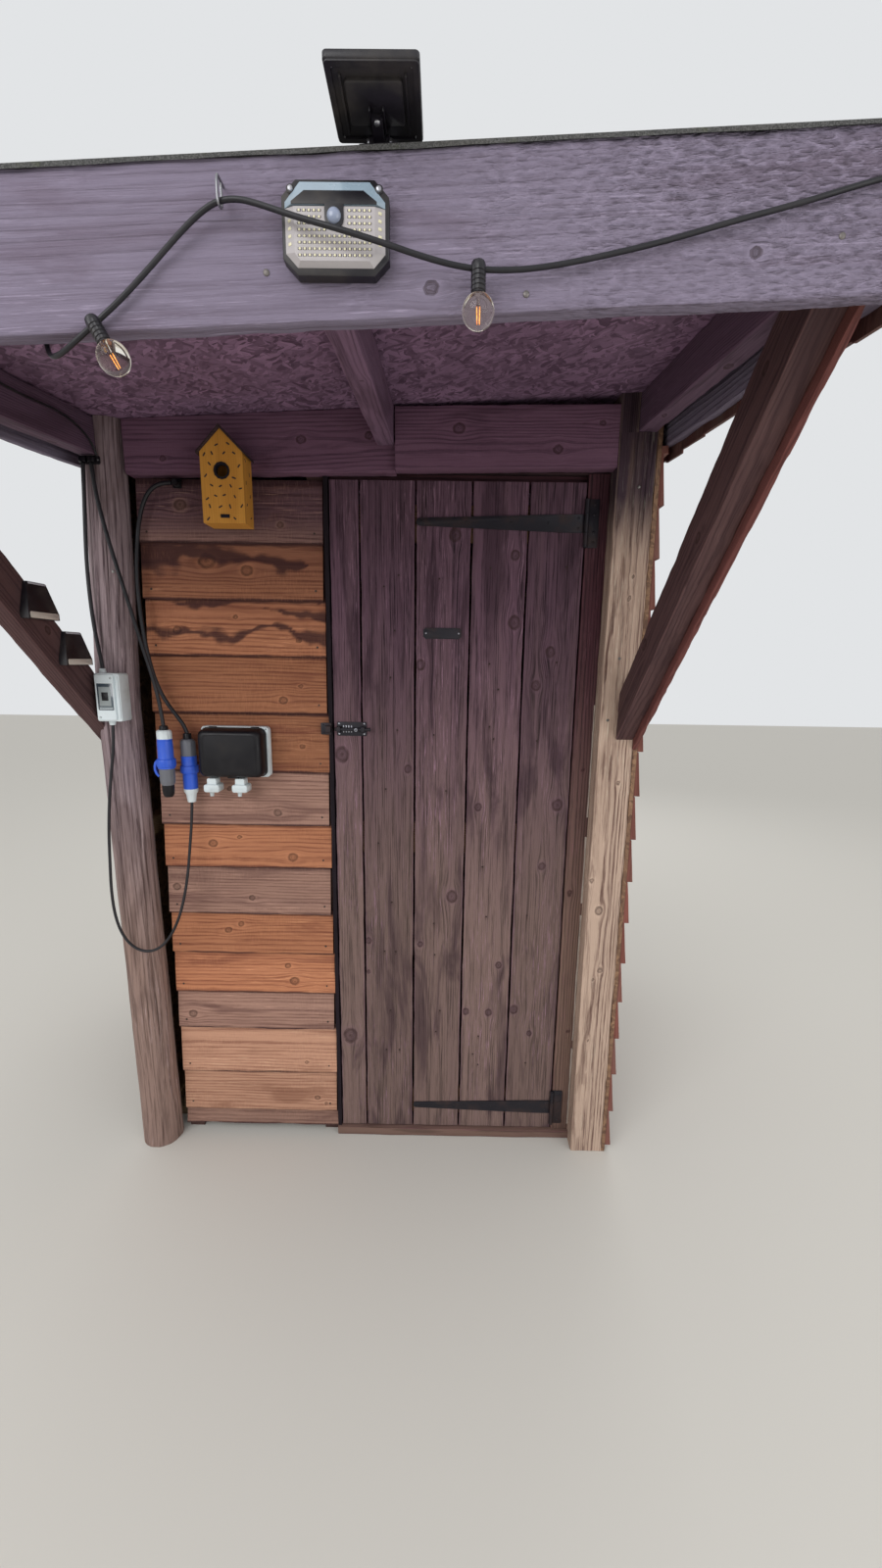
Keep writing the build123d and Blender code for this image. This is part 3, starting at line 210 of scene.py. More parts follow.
def timber(
    pile, origin, along, across, width, depth, start, end, *, ease=0.002, spacing=0.06, front=4, sides=1, back=2,
    seed=0, tone=0.5, knots=(), nails=(), worn=0.0, rough=0.0004, wander=(0.0, 0.0), thin=None, stain=None, out=None,
    lean=0.0, flare=0.0,
):
    """A sawn timber: an eased rectangle carried along a line and cut off at each end by a distance or a plane.
    Its faces ripple by rough, its two narrow sides wander by (low, high), thin is its depth at the high side and
    worn takes wood off the arrises in places. A knot is (along, across, radius): the grain
    bends round it, because the across coordinate closes on the knot's middle by a bell curve. A nail is
    (along, across): a small dark cone drawn out below it. stain gives a third mark over (along, across); on the
    lapped boards it holds painted shade under each lap and along each lower edge as well as real stains. out is
    the way its front faces, where that isn't across turned towards along. lean thins it by this slope as it runs,
    and flare widens it."""
    along, across = np.asarray(along, float), np.asarray(across, float)
    through = np.cross(along, across) if out is None else -np.asarray(out, float)
    ring, outward, arris = squared_ring(width, depth, ease, front, sides, back)
    base = np.asarray(origin, float) + np.outer(ring[:, 0], across) + np.outer(ring[:, 1], through)
    first, last = reach(base, along, start), reach(base, along, end)
    steps = max(2, int(np.ceil((last - first).max() / spacing)))
    share = np.linspace(0, 1, steps + 1)[:, None]
    run = first + (last - first) * share
    wide = np.broadcast_to(ring[:, 0], run.shape)
    deep = np.broadcast_to(ring[:, 1], run.shape)
    high = wide / width + 0.5
    wide = wide + ripple(run, 0 * run, seed + 1, 0.23, wander[0]) * (1 - high)
    wide = wide + ripple(run, 0 * run, seed + 2, 0.31, wander[1]) * high
    wide = wide + flare * (run - first) * high
    if thin is not None:
        deep = depth / 2 - (depth / 2 - deep) * (depth + (thin - depth) * high) / depth
    if lean:
        deep = depth / 2 - (depth / 2 - deep) * (1 - lean * (run - first) / depth)
    uneven = ripple(run, wide * 3 + deep, seed + 3, 0.12, rough) + ripple(run, wide * 9, seed + 4, 0.035, rough / 2)
    bite = worn * arris * np.clip(ripple(run, wide, seed + 5, 0.09, 1.0), 0, 1)
    wide = wide + outward[:, 0] * (uneven - bite)
    deep = deep + outward[:, 1] * (uneven - bite)
    points = np.asarray(origin, float) + run[..., None] * along + wide[..., None] * across + deep[..., None] * through
    draw = np.random.default_rng(seed)
    heart = draw.uniform(-0.5, 0.5) * width, draw.choice((-1, 1)) * draw.uniform(0.3, 1.2) * max(depth, 0.03)
    bent = wide + 0.0
    knot = np.zeros(run.shape)
    for at, over, radius in knots:
        apart = ((run - at) / (3.2 * radius)) ** 2 + ((wide - over) / (1.9 * radius)) ** 2
        bent = bent - (wide - over) * 0.85 * np.exp(-apart)
        knot = np.maximum(knot, 1 - np.hypot((run - at) * 0.85, wide - over) / (2 * radius))
    bleed = np.zeros(run.shape)
    for at, over in nails:
        drop = np.where(run < at, 0.34, 1.0)
        bleed = np.maximum(bleed, 0.85 - np.hypot((run - at) * drop, (wide - over) * 1.3) / 0.011)
    grain = np.stack((run + draw.uniform(0, 9), bent + heart[0], deep + heart[1]), axis=-1)
    third = np.broadcast_to(arris, run.shape) if stain is None else stain(run, wide)
    pile.grid(points, grain, tone, np.stack((np.clip(knot, 0, 1), np.clip(bleed, 0, 1), third), axis=-1))


# ---- Turned and moulded shapes, all in millimetres ----


def turned(pile, foot, axis, profile, around=24, ribs=0, depth=0.0):
    """A turned body: the profile's (radius, height) pairs carried round an axis, closed by a face at each end.
    ribs flutes of this depth, a share of the radius, run along it."""
    axis = np.asarray(axis, float) / np.linalg.norm(axis)
    side = np.cross(axis, Y if abs(axis[1]) < 0.9 else X)
    side /= np.linalg.norm(side)
    angle = np.linspace(0, 2 * pi, around, endpoint=False)
    ray = np.outer(np.cos(angle), side) + np.outer(np.sin(angle), np.cross(axis, side))
    profile = np.asarray(profile, float)
    flute = 1 - depth * (0.5 + 0.5 * np.cos(ribs * angle)) if ribs else np.ones(around)
    radius = profile[:, 0, None] * flute
    points = np.asarray(foot, float) + profile[:, 1, None, None] * axis + radius[..., None] * ray
    pile.grid(points / 1000)


def skin(pile, centre, right, up, rows, capped=True):
    """A faceted body: outlines of (right, up, out) points with the same count in each, joined in order and closed
    by a face at each end."""
    axes = np.stack((right, up, np.cross(right, up)))
    pile.grid((np.asarray(centre, float) + np.asarray(rows, float) @ axes) / 1000, capped=capped)


def at_depth(outline, depth):
    """An outline of (right, up) pairs as (right, up, out) points; depth is one number or one for each point."""
    return np.c_[np.asarray(outline), np.broadcast_to(depth, len(outline))]


def plate(pile, centre, right, up, outline, low, high, ease=0.8):
    """A moulded or cut plate: an outline of (right, up) pairs carried out of its plane from low to high, its edge
    eased by drawing the last rows in towards the outline's middle."""
    outline = np.asarray(outline, float)
    middle = outline.mean(0)
    reached = np.linalg.norm(outline - middle, axis=1)[:, None]
    skin(pile, centre, right, up, [
        at_depth(middle + (outline - middle) * (1 - inset / reached), height)
        for height, inset in ((low, 0), (high - ease, 0), (high - ease * 0.3, ease * 0.3), (high, ease))
    ])


def loft(pile, centre, right, up, outline, rows, capped=True):
    """A moulded body: an outline of (right, up) pairs carried out of its plane through rows of (share of its width,
    share of its height, distance out), with a face across each end."""
    rows = [at_depth(np.asarray(outline) * (wide, high), out) for wide, high, out in rows]
    skin(pile, centre, right, up, rows, capped)


def rim(pile, centre, right, up, outline, width, low, high):
    """A raised border that follows an outline inside its edge: the loft of a closed four-sided section."""
    share = 1 - width / np.abs(outline).max(0)
    rows = [(1, 1, low), (1, 1, high), (*share, high), (*share, low), (1, 1, low)]
    loft(pile, centre, right, up, outline, rows, capped=False)


def holed(pile, centre, right, up, outline, hole, low, high):
    """A block with a round hole: each outline point, four to an edge, is drawn in to the hole's radius along its own
    direction from the hole's middle, and the four-sided section between the two is carried round."""
    edge = np.roll(outline, -1, axis=0) - outline
    outline = (outline[:, None] + edge[:, None] * np.array((0, 0.25, 0.5, 0.75))[:, None]).reshape(-1, 2)
    inner = outline / np.linalg.norm(outline, axis=1)[:, None] * hole
    section = ((outline, low), (outline, high), (inner, high), (inner, low), (outline, low))
    skin(pile, centre, right, up, [at_depth(ring, out) for ring, out in section], capped=False)


def rounded(width, height, corner, steps=4):
    """Outline of a rectangle about the origin whose corners are quarter circles."""
    turn = np.linspace(0, pi / 2, steps + 1)
    corners = ((1, 1, 0), (-1, 1, 1), (-1, -1, 2), (1, -1, 3))
    return np.concatenate([
        np.stack((
            x * (width / 2 - corner) + corner * np.cos(turn + quarter * pi / 2),
            y * (height / 2 - corner) + corner * np.sin(turn + quarter * pi / 2),
        ), axis=-1)
        for x, y, quarter in corners
    ])


def circle(radius, around):
    turn = np.linspace(0, 2 * pi, around, endpoint=False)
    return np.stack((radius * np.cos(turn), radius * np.sin(turn)), axis=-1)


def screw_head(pile, at, out, radius):
    """A low domed screw or nail head on a surface."""
    turned(pile, at, out, ((radius, -0.5), (radius, 0.4), (radius * 0.8, 1.2), (radius * 0.3, 1.6)), 10)


# ---- Finishes: small helpers for node trees ----

KNOT_COLOUR = rgb(48, 30, 24)


def node(tree, kind, settings=None, **inputs):
    """Adds a node. inputs are sockets by name with underscores for spaces, or i0, i1 for the first and second."""
    made = tree.nodes.new(kind)
    for label, value in (settings or {}).items():
        setattr(made, label, value)
    for label, value in inputs.items():
        key = int(label[1:]) if label[0] == "i" and label[1:].isdigit() else label.replace("_", " ")
        socket = made.inputs[key]
        if isinstance(value, Field):
            tree.links.new(value.socket, socket)
        else:
            socket.default_value = (*value, 1) if socket.type == "RGBA" else value
    return made


class Field:
    """A value worked out at each point of a surface: one output of a node. Sums, differences and products of fields
    and plain numbers make the nodes that work them out."""

    def __init__(self, socket):
        self.socket = socket

    def node(self, kind, settings=None, output=0, **inputs):
        return Field(node(self.socket.id_data, kind, settings, **inputs).outputs[output])

    def maths(self, operation, a, b, clamp=False):
        return self.node("ShaderNodeMath", {"operation": operation, "use_clamp": clamp}, i0=a, i1=b)

    def __add__(self, other):
        return self.maths("ADD", self, other)

    def __radd__(self, other):
        return self.maths("ADD", other, self)

    def __sub__(self, other):
        return self.maths("SUBTRACT", self, other)

    def __rsub__(self, other):
        return self.maths("SUBTRACT", other, self)

    def __mul__(self, other):
        return self.maths("MULTIPLY", self, other)

    def held_sum(self, other):
        """The sum, held between 0 and 1."""
        return self.maths("ADD", self, other, True)

    def span(self, low, high, to_low=0.0, to_high=1.0):
        """The value taken from low..high to to_low..to_high, smoothly and held at both ends."""
        ends = dict(zip(("From_Min", "From_Max", "To_Min", "To_Max"), (low, high, to_low, to_high)))
        return self.node("ShaderNodeMapRange", {"interpolation_type": "SMOOTHSTEP"}, Value=self, **ends)

    def stretched(self, scale, shift=(0, 0, 0)):
        return self.node("ShaderNodeMapping", Vector=self, Scale=scale, Location=shift)

    def noise(self, scale=1.0, detail=3.0, roughness=0.55, distortion=0.0, output="Fac"):
        return self.node("ShaderNodeTexNoise", output=output, Vector=self, Scale=scale, Detail=detail,
                         Roughness=roughness, Distortion=distortion)

    def part(self, kind, label):
        """One part of a vector or colour, by the kind of separating node and the part's name."""
        return self.node(f"ShaderNodeSeparate{kind}", output=label, i0=self)


def mixed(share, a, b, blend="MIX"):
    """Colour b over colour a by a share."""
    known = share if isinstance(share, Field) else a
    return known.node("ShaderNodeMix", {"data_type": "RGBA", "blend_type": blend}, output=2, i0=share, i6=a, i7=b)


def lighter(colour, gain, lift=0.0):
    return tuple(min(1.0, v * gain + lift) for v in colour)


def new_finish(name, base, roughness=0.6, **fixed):
    """A material with one Principled shader. base is its colour, and fixed holds other sockets by name with
    underscores for spaces. Gives the material, its node tree and a function that links sockets by name
    and, from a height of 0 to 1, the relief of a given depth."""
    material = bpy.data.materials.new(name)
    material.use_nodes = True
    tree = material.node_tree
    shader = tree.nodes["Principled BSDF"]
    shader.inputs["Base Color"].default_value = (*base, 1)
    shader.inputs["Roughness"].default_value = roughness
    for label, value in fixed.items():
        shader.inputs[label.replace("_", " ")].default_value = value
    material.diffuse_color = (*base, 1)

    def link(height=None, relief=0.0, **fields):
        for label, field in fields.items():
            tree.links.new(field.socket, shader.inputs[label.replace("_", " ")])
        if height is not None:
            normal = height.node("ShaderNodeBump", output="Normal", Height=height, Distance=relief, Strength=1.0)
            tree.links.new(normal.socket, shader.inputs["Normal"])

    return material, tree, link


def object_place(tree):
    return Field(node(tree, "ShaderNodeTexCoord").outputs["Object"])


def attribute(tree, label, output):
    return Field(node(tree, "ShaderNodeAttribute", {"attribute_name": label}).outputs[output])


def wood(
    name, early, late, *, ring=0.005, contrast=0.55, fibre=0.35, weather_and_shade=None, sawn=0.0, relief=0.0008, roughness=0.82,
    own_grain=True, turn=(1, 0, 0), blotch=None, worn=0.25, spread=0.35, shade_and_stain_colour=None, figure=1.2, fleck=0.0,
    teeth=(330, 40, 40), sawn_marked=False,
):
    """Sawn softwood. Rings about the pith and fine fibres run along the grain, early and late are the two colours
    of a ring, and tone makes each board lighter or darker by spread. Knots are ringed and nails have a dark streak.
    weather is (colour, share, heights above ground between which it comes in, or None): greyed wood in wisps, or a
    colour blended in by height, lighter and greyer towards the ground on some timbers and on others a dark purple
    towards the top that is painted shade. blotch is (share, colour) of dark clouds. sawn adds saw marks across the
    grain, of size teeth and in patches or by the third mark, with dark and pale lines along them that are painted
    shadow and painted highlight, and fleck pale fibres, partly weathered silver wood and partly painted highlight.
    own_grain reads the grain attribute; a CAD node's wood reads Object coordinates, with turn the axis that its grain
    follows."""
    material, tree, link = new_finish(name, early, roughness, Specular_IOR_Level=0.25)
    place = object_place(tree)
    if own_grain:
        grain = attribute(tree, "grain", "Vector")
    else:
        angles = {(1, 0, 0): (0, 0, 0), (0, 1, 0): (0, 0, -pi / 2), (0, 0, 1): (0, pi / 2, 0)}[turn]
        grain = place.node("ShaderNodeMapping", Vector=place, Rotation=angles, Location=(0, 0.013, 0.041))
    drift = grain.stretched((1.3, 9, 9)).noise(1.0, 2.0)
    shift = drift.node("ShaderNodeCombineXYZ", Y=drift * 0.035, Z=drift * 0.02)
    shifted = drift.node("ShaderNodeVectorMath", {"operation": "ADD"}, i0=grain.stretched((0.12, 1, 1)), i1=shift)
    settings = {"wave_type": "RINGS", "rings_direction": "X", "wave_profile": "SIN"}
    rings = shifted.node(
        "ShaderNodeTexWave", settings, output="Fac", Vector=shifted, Scale=WAVE_PERIOD / ring, Distortion=figure,
        Detail=2.0,
    )
    late_wood = rings.span(0.35, 1.0)
    fine = grain.stretched((7, 420, 420)).noise(1.0, 3.0, 0.6)
    streak = grain.stretched((2.6, 64, 64)).noise(1.0, 5.0, 0.74)
    share = late_wood * contrast + (fine.span(0.36, 0.64) - 0.5) * (fibre * 0.8)
    share = share.held_sum((streak.span(0.36, 0.64) - 0.5) * (fibre * 0.9))
    pale_wood, dark_wood = early, late
    if weather_and_shade:
        weather_and_shade_colour, most, by_height = weather_and_shade
        wisp = grain.stretched((0.9, 24, 24), (5, 2, 1)).noise()
        grey = wisp.span(0.35, 0.75)
        # By height: on the door, jambs and pole a lighter grey comes in towards the ground; on the lapped boards and
        # the post a dark purple comes in towards the top, which is painted shade
        if by_height:
            grey = place.part("XYZ", "Z").span(*by_height).held_sum((wisp - 0.5) * 0.5)
        grey = grey * most
        pale_wood, dark_wood = mixed(grey, early, weather_and_shade_colour), mixed(grey, late, lighter(weather_and_shade_colour, 0.4))
    colour = mixed(share, pale_wood, dark_wood)
    # Pale fibres: partly weathered silver wood, partly painted highlight
    if fleck:
        raised = grain.stretched((12, 300, 300), (2, 7, 3)).noise(1.0, 4.0, 0.7)
        patchy = grain.stretched((1.6, 7, 7), (8, 1, 2)).noise()
        pale = raised.span(0.54, 0.70) * patchy.span(0.40, 0.62)
        colour = mixed(pale * fleck, colour, lighter(early, 2.6, 0.03))
    if own_grain:
        marks = attribute(tree, "mark", "Vector")
        bright = attribute(tree, "tone", "Fac").span(0.0, 1.0, 1 - spread, 1 + spread)
        level = bright.node("ShaderNodeCombineColor", Red=bright, Green=bright, Blue=bright)
        colour = mixed(1.0, colour, level, "MULTIPLY")
    if blotch:
        cloud = grain.stretched((2.2, 13, 13), (3.7, 1.1, 0.4)).noise(1.0, 4.0, 0.55, 0.8)
        colour = mixed(cloud.span(0.52, 0.66) * blotch[0], colour, blotch[1])
    height = fine * 0.5 + late_wood * 0.35
    if own_grain:
        near, bleed, third = (marks.part("XYZ", axis) for axis in "XYZ")
        swirl = grain.stretched((60, 160, 160)).noise(1.0, 2.0, 0.5)
        cone = near + (swirl - 0.5) * 0.22
        rim = cone.span(0.36, 0.50) * (1.0 - cone.span(0.54, 0.74))
        coil = cone.maths("SINE", cone * 62.0, 0.0) * 0.5 + 0.5
        heart = tuple((v + w) * 0.42 for v, w in zip(early, late))
        for cover, tint in (
            (cone.span(0.0, 0.45) * 0.22, lighter(early, 1.5)), (cone.span(0.45, 0.55) * 0.35, heart),
            (cone.span(0.30, 0.5) * (coil * 0.45), KNOT_COLOUR), (rim * (swirl * 0.9), KNOT_COLOUR),
            (cone.span(0.80, 0.95) * 0.6, KNOT_COLOUR), (bleed.span(0.15, 0.95) * 0.75, KNOT_COLOUR),
        ):
            colour = mixed(cover, colour, tint)
        # The third mark brings in this dark colour: on the lapped boards real stains, and painted shade under the laps
        # and along their lower edges
        if shade_and_stain_colour is not None:
            wisp = grain.stretched((16, 90, 90), (1, 3, 5)).noise(1.0, 4.0, 0.65)
            shade_and_stain_share = (third + (wisp - 0.5) * 0.8) * third.span(0.02, 0.2)
            colour = mixed(shade_and_stain_share.span(0.12, 0.8) * 0.85, colour, shade_and_stain_colour)
        elif worn:
            rub = third.span(0.3, 1.0) * (streak.span(0.3, 0.6) * worn)
            colour = mixed(rub, colour, lighter(early, 1.9))
        height = height - rim * 0.4
    if sawn:
        cut = grain.stretched(teeth).noise(1.0, 2.0, 0.5, 0.3)
        patch = third if sawn_marked else grain.stretched((3, 12, 12), (4, 4, 4)).noise().span(0.42, 0.62)
        height = height + cut * sawn * patch
        # Dark and pale lines along the saw marks: painted shadow and painted highlight of their relief
        colour = mixed(cut.span(0.5, 0.68) * patch * min(1.0, sawn * 0.15), colour, lighter(late, 0.6))
        colour = mixed(cut.span(0.47, 0.34) * patch * min(1.0, sawn * 0.16), colour, lighter(early, 1.5))
    link(
        height, relief, Base_Color=colour, Roughness=fine.span(0.2, 0.8, roughness - 0.08, min(0.97, roughness + 0.08))
    )
    return material


def moulded(
    name, colour, roughness=0.5, speck=0.12, scale=260.0, relief=0.00012, dust=rgb(120, 112, 100), dusty=0.15, **fixed
):
    """Moulded plastic or painted metal: fine speckle in colour and relief, and a thin film of dust in soft clouds."""
    material, tree, link = new_finish(name, colour, roughness, **fixed)
    place = object_place(tree)
    fleck = place.noise(scale, 2.0)
    cloud = place.noise(14.0, 4.0, 0.6)
    tint = mixed(fleck * (speck * 2), colour, lighter(colour, 0.55))
    tint = mixed(cloud.span(0.45, 0.75) * dusty, tint, dust)
    rough = cloud.span(0.3, 0.7, max(0.05, roughness - 0.1), min(1.0, roughness + 0.15))
    link(fleck, relief, Base_Color=tint, Roughness=rough)
    return material


def finish_nodes(material, *names):
    """Gives CAD nodes that keep their own shape a finish."""
    for name in names:
        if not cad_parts[name].material_slots:
            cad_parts[name].data.materials.append(material)
        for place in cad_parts[name].material_slots:
            place.material = material


def strand_board(name, pale, dark, relief=0.0006):
    """Pressed board of thin wood flakes that lie every way: four layers of long cells, each turned by its own angle.
    A cell's random colour says whether its flake covers the layers below and how light it is."""
    material, tree, link = new_finish(name, dark, 0.75)
    share = 0.0
    place = object_place(tree)
    place = mixed(0.035, place, place.noise(22.0, 1.0, 0.5, output="Color"), "ADD")
    for turn, size, cover in (
        (0.4, (18, 120, 70), 1.0), (1.5, (21, 105, 70), 0.6), (2.5, (17, 135, 70), 0.5), (0.9, (23, 126, 70), 0.4),
    ):
        across = place.node("ShaderNodeMapping", Vector=place, Rotation=(turn * 0.3, turn * 0.3, turn))
        cell = place.node(
            "ShaderNodeTexVoronoi", output="Color", Vector=across.stretched(size), Scale=1.0, Randomness=1.0
        )
        on_top = cell.maths("GREATER_THAN", cell.part("Color", 1), 1 - cover)
        share = share + (cell.part("Color", 0) - share) * on_top
    fibre = place.stretched((60, 240, 60)).noise()
    colour = mixed(share.held_sum((fibre - 0.5) * 0.4), dark, pale)
    colour = mixed(place.noise(2.6).span(0.45, 0.7) * 0.4, colour, dark)
    link(share, relief, Base_Color=colour)
    return material


# ---- Settings ----


def colour_of(name, description, value):
    return bpy.props.FloatVectorProperty(
        name=name, description=description, subtype="COLOR", size=3, min=0.0, max=1.0, default=value
    )


def length_of(name, description, value, most=1.0):
    return bpy.props.FloatProperty(name=name, description=description, unit="LENGTH", min=0.0, max=most, default=value)


class TimberSettings(bpy.types.PropertyGroup):
    """Colours and sizes of the timbers."""

    door: colour_of("Door", "Early wood of the door boards", rgb(100, 74, 88))
    door_low: colour_of("Door, low down", "Greyer wood that the door boards turn to near the ground", rgb(122, 101, 94))
    lap: colour_of("Lapped boards", "Early wood of the brighter lapped boards", rgb(176, 118, 86))
    lap_dull: colour_of("Dull lapped boards", "Early wood of the browner lapped boards", rgb(154, 120, 106))
    header: colour_of("Header", "Early wood of the header boards", rgb(116, 84, 104))
    fascia: colour_of("Fascia", "Stain of the fascia boards", rgb(128, 119, 138))
    jamb: colour_of("Jamb", "Early wood of the door frame", rgb(80, 48, 56))
    post: colour_of("Post", "Early wood of the square post", rgb(190, 165, 148))
    pole: colour_of("Pole", "Early wood of the round pole", rgb(148, 131, 135))
    brace: colour_of("Braces", "Early wood of the braces and rafters", rgb(90, 66, 66))
    brace_board: colour_of("Brace board", "Cedar board on the right brace", rgb(110, 66, 62))
    inside: colour_of("Inside timber", "Plain framing timber inside", rgb(172, 142, 110))
    board: colour_of("Roof board", "Stained strand board under the canopy", rgb(164, 130, 162))
    arris: length_of("Arris", "How far a sawn edge is eased", 0.002, 0.02)
    knot_grid: length_of("Door grid", "Spacing of the door boards' points along the grain", 0.0085, 0.1)


class CladdingSettings(bpy.types.PropertyGroup):
    """Shingles and roof felt."""

    shingle: colour_of("Shingles", "Early wood of the split shingles", rgb(114, 68, 60))
    felt: colour_of("Felt", "Mineral surface of the roof felt", rgb(74, 74, 74))
    narrow: length_of("Narrowest shingle", "Least width of a shingle", 0.095)
    broad: length_of("Broadest shingle", "Greatest width of a shingle", 0.215)
    exposure: length_of("Exposure", "Height of each course that shows", 0.128)


class FittingSettings(bpy.types.PropertyGroup):
    """Colours of the ironwork, electrics and lamps."""

    iron: colour_of("Black iron", "Hinges, bolt and sign plate", rgb(38, 36, 44))
    plastic: colour_of("Black plastic", "Lights, socket box and holders", rgb(24, 21, 28))
    pale: colour_of("Pale grey", "Breaker enclosure and plugs", rgb(218, 228, 232))
    blue: colour_of("Blue", "Coupler bodies", rgb(44, 92, 212))
    yellow: colour_of("Yellow", "Painted walls of the nest box", rgb(214, 152, 66))
    cable: colour_of("Cable", "Sheath of the cables", rgb(28, 27, 32))
    floor: colour_of("Stage floor", "Plain pale floor", rgb(214, 212, 206))
    backdrop: colour_of("Backdrop", "Plain pale surroundings", rgb(226, 228, 230))


class OUTHOUSE_OT_camera(bpy.types.Operator):
    """Place the camera before the door, wide and a little below eye height"""

    bl_idname = "outhouse.camera"
    bl_label = "Camera"

    def execute(self, context):
        lens = bpy.data.cameras.new("front_camera")
        lens.lens, lens.sensor_width = 13.519, 36.0
        made = bpy.data.objects.new("front_camera", lens)
        made.location = (0.2141, -1.6912, 1.545)
        made.rotation_euler = np.radians((78.26465, -0.80175, 0.53241))
        context.scene.collection.objects.link(made)
        context.scene.camera = made
        return {"FINISHED"}


# ---- Cords ----

# Control points of each cable, in millimetres
BREAKER_FEED = (
    (-712, -80, 2022), (-716, -79, 1962), (-723, -78, 1880), (-729, -78, 1792),
    (-729, -80, 1704), (-723, -85, 1625), (-712, -93, 1566), (-704, -98, 1530),
    (-703, -100, 1515),
)
COUPLER_FEED = (
    (-690, -81, 2022), (-686, -84, 1966), (-673, -86, 1892), (-656, -86, 1812),
    (-637, -85, 1732), (-619, -82, 1652), (-601, -80, 1573), (-581, -80, 1494),
    (-567, -80, 1424), (-562, -80, 1362),
)
RAFTER_LEAD = (
    (-300, -872, 1948), (-340, -872, 1952), (-392, -873, 1966), (-450, -873, 1972),
    (-512, -873, 1984), (-572, -872, 1988), (-628, -868, 1998), (-664, -846, 2010),
    (-675, -806, 2018), (-677, -752, 2026), (-676, -690, 2038), (-677, -624, 2047),
    (-676, -556, 2052), (-677, -488, 2062), (-676, -420, 2071), (-677, -352, 2075),
    (-676, -284, 2083), (-676, -216, 2091), (-677, -158, 2088), (-676, -116, 2077),
    (-675, -90, 2060), (-675, -80, 2042),
)
WALL_CABLE = (
    (-520, -14, 1998), (-548, -14, 1997), (-578, -15, 1981), (-599, -17, 1946),
    (-613, -20, 1896), (-622, -23, 1832), (-627, -26, 1760), (-626, -28, 1688),
    (-621, -30, 1616), (-612, -31, 1546), (-598, -32, 1482), (-574, -32, 1426),
    (-544, -32, 1384), (-525, -31, 1355), (-520, -31, 1336),
)
LOOP_CABLE = (
    (-690, -100, 1364), (-692, -101, 1310), (-708, -101, 1228), (-722, -100, 1146),
    (-732, -100, 1060), (-738, -99, 972), (-743, -99, 888), (-741, -98, 812),
    (-727, -98, 752), (-700, -97, 710), (-662, -96, 692), (-622, -94, 702),
    (-588, -90, 738), (-562, -82, 792), (-545, -71, 858), (-535, -58, 930),
    (-529, -46, 1006), (-523, -36, 1078), (-520, -31, 1136),
)
FESTOON = (
    (-288, -871, 1938), (-287, -872, 1919), (-277, -881, 1904), (-256, -896, 1901),
    (-232, -907, 1909), (-203, -912, 1926), (-170, -912, 1951), (-136, -912, 1981),
    (-104, -914, 2009), (-75, -917, 2031), (-50, -921, 2043), (-24, -925, 2043),
    (6, -930, 2033), (42, -938, 2018), (88, -942, 2005), (136, -941, 1993),
    (180, -934, 1984), (222, -926, 1979), (262, -920, 1979), (312, -914, 1985),
    (380, -912, 1998), (456, -911, 2015), (532, -912, 2035), (604, -911, 2053),
    (664, -911, 2070), (708, -911, 2081), (742, -911, 2089),
)
LAMPS = (((-203, -914.5, 1925), (0.5, -0.1, -0.86)), ((243, -923.5, 1979), (0.02, -0.06, -1.0)))


def cable(name, points, diameter, material, *nodes, slot="cable_black"):
    """A round cable whose centre line is a smooth NURBS spline with these control points, in millimetres."""
    curve = bpy.data.curves.new(name, "CURVE")
    curve.dimensions = "3D"
    spline = curve.splines.new("NURBS")
    spline.points.add(len(points) - 1)
    spline.points.foreach_set("co", np.c_[np.array(points) / 1000, np.ones(len(points))].ravel())
    spline.order_u, spline.use_endpoint_u, spline.resolution_u = 3, True, 8
    curve.bevel_depth, curve.bevel_resolution, curve.use_fill_caps = diameter / 2000, 4, True
    return fitted(bpy.data.objects.new(name, curve), material, "hut", slot, *nodes)


def lamp_pieces(context, holder_finish, glass, wire):
    """The two lamps on the string: a ribbed holder, a thin clear globe with a neck, and a filament on a stem."""
    holders, globes, filaments = Pile(), Pile(), Pile()
    turn = np.linspace(0, pi * 0.94, 14)
    for at, axis in LAMPS:
        axis = np.array(axis) / np.linalg.norm(axis)
        body = [(4, -7), (7.5, -6), (8.5, -3)]
        for rib in range(5):
            low = 1 + rib * 5
            body += [(8.5, low), (8.5, low + 3), (7.6, low + 3.6), (7.6, low + 4.6)]
        turned(holders, at, axis, body + [(8.2, 26.8), (7, 27.9)], 28, ribs=14, depth=0.05)
        bulb = [(18.5 * sin(a), 44 + 18.5 * cos(a)) for a in turn]
        outside = bulb + [(7.2, 30.5), (7, 28.4)]
        inside = [(r * 0.93, 44 + (h - 44) * 0.95) for r, h in outside[::-1]]
        turned(globes, at, axis, [(0.4, 62.5)] + outside[1:], 32)
        turned(globes, at, axis, [(6.4, 29)] + inside[1:-1] + [(0.4, 61.7)], 32)
        side = np.cross(axis, Y) / np.linalg.norm(np.cross(axis, Y))
        turned(globes, at, axis, ((3, 29.2), (1.6, 34), (1.4, 40)), 10)
        for wave in (-1, 1):
            foot = np.array(at) + axis * 40.5 + side * 1.1 * wave
            turned(filaments, foot, axis, ((0.3, 0), (0.5, 2), (0.5, 13), (0.3, 15)), 8)
    return (
        holders.piece("lamp_holder_ribs", holder_finish, "black_plastic", "lamp_holders"),
        globes.piece("lamp_glass", glass, "lamp_glass", "lamp_globes"),
        filaments.piece("lamp_filaments", wire, "lamp_glass"),
    )


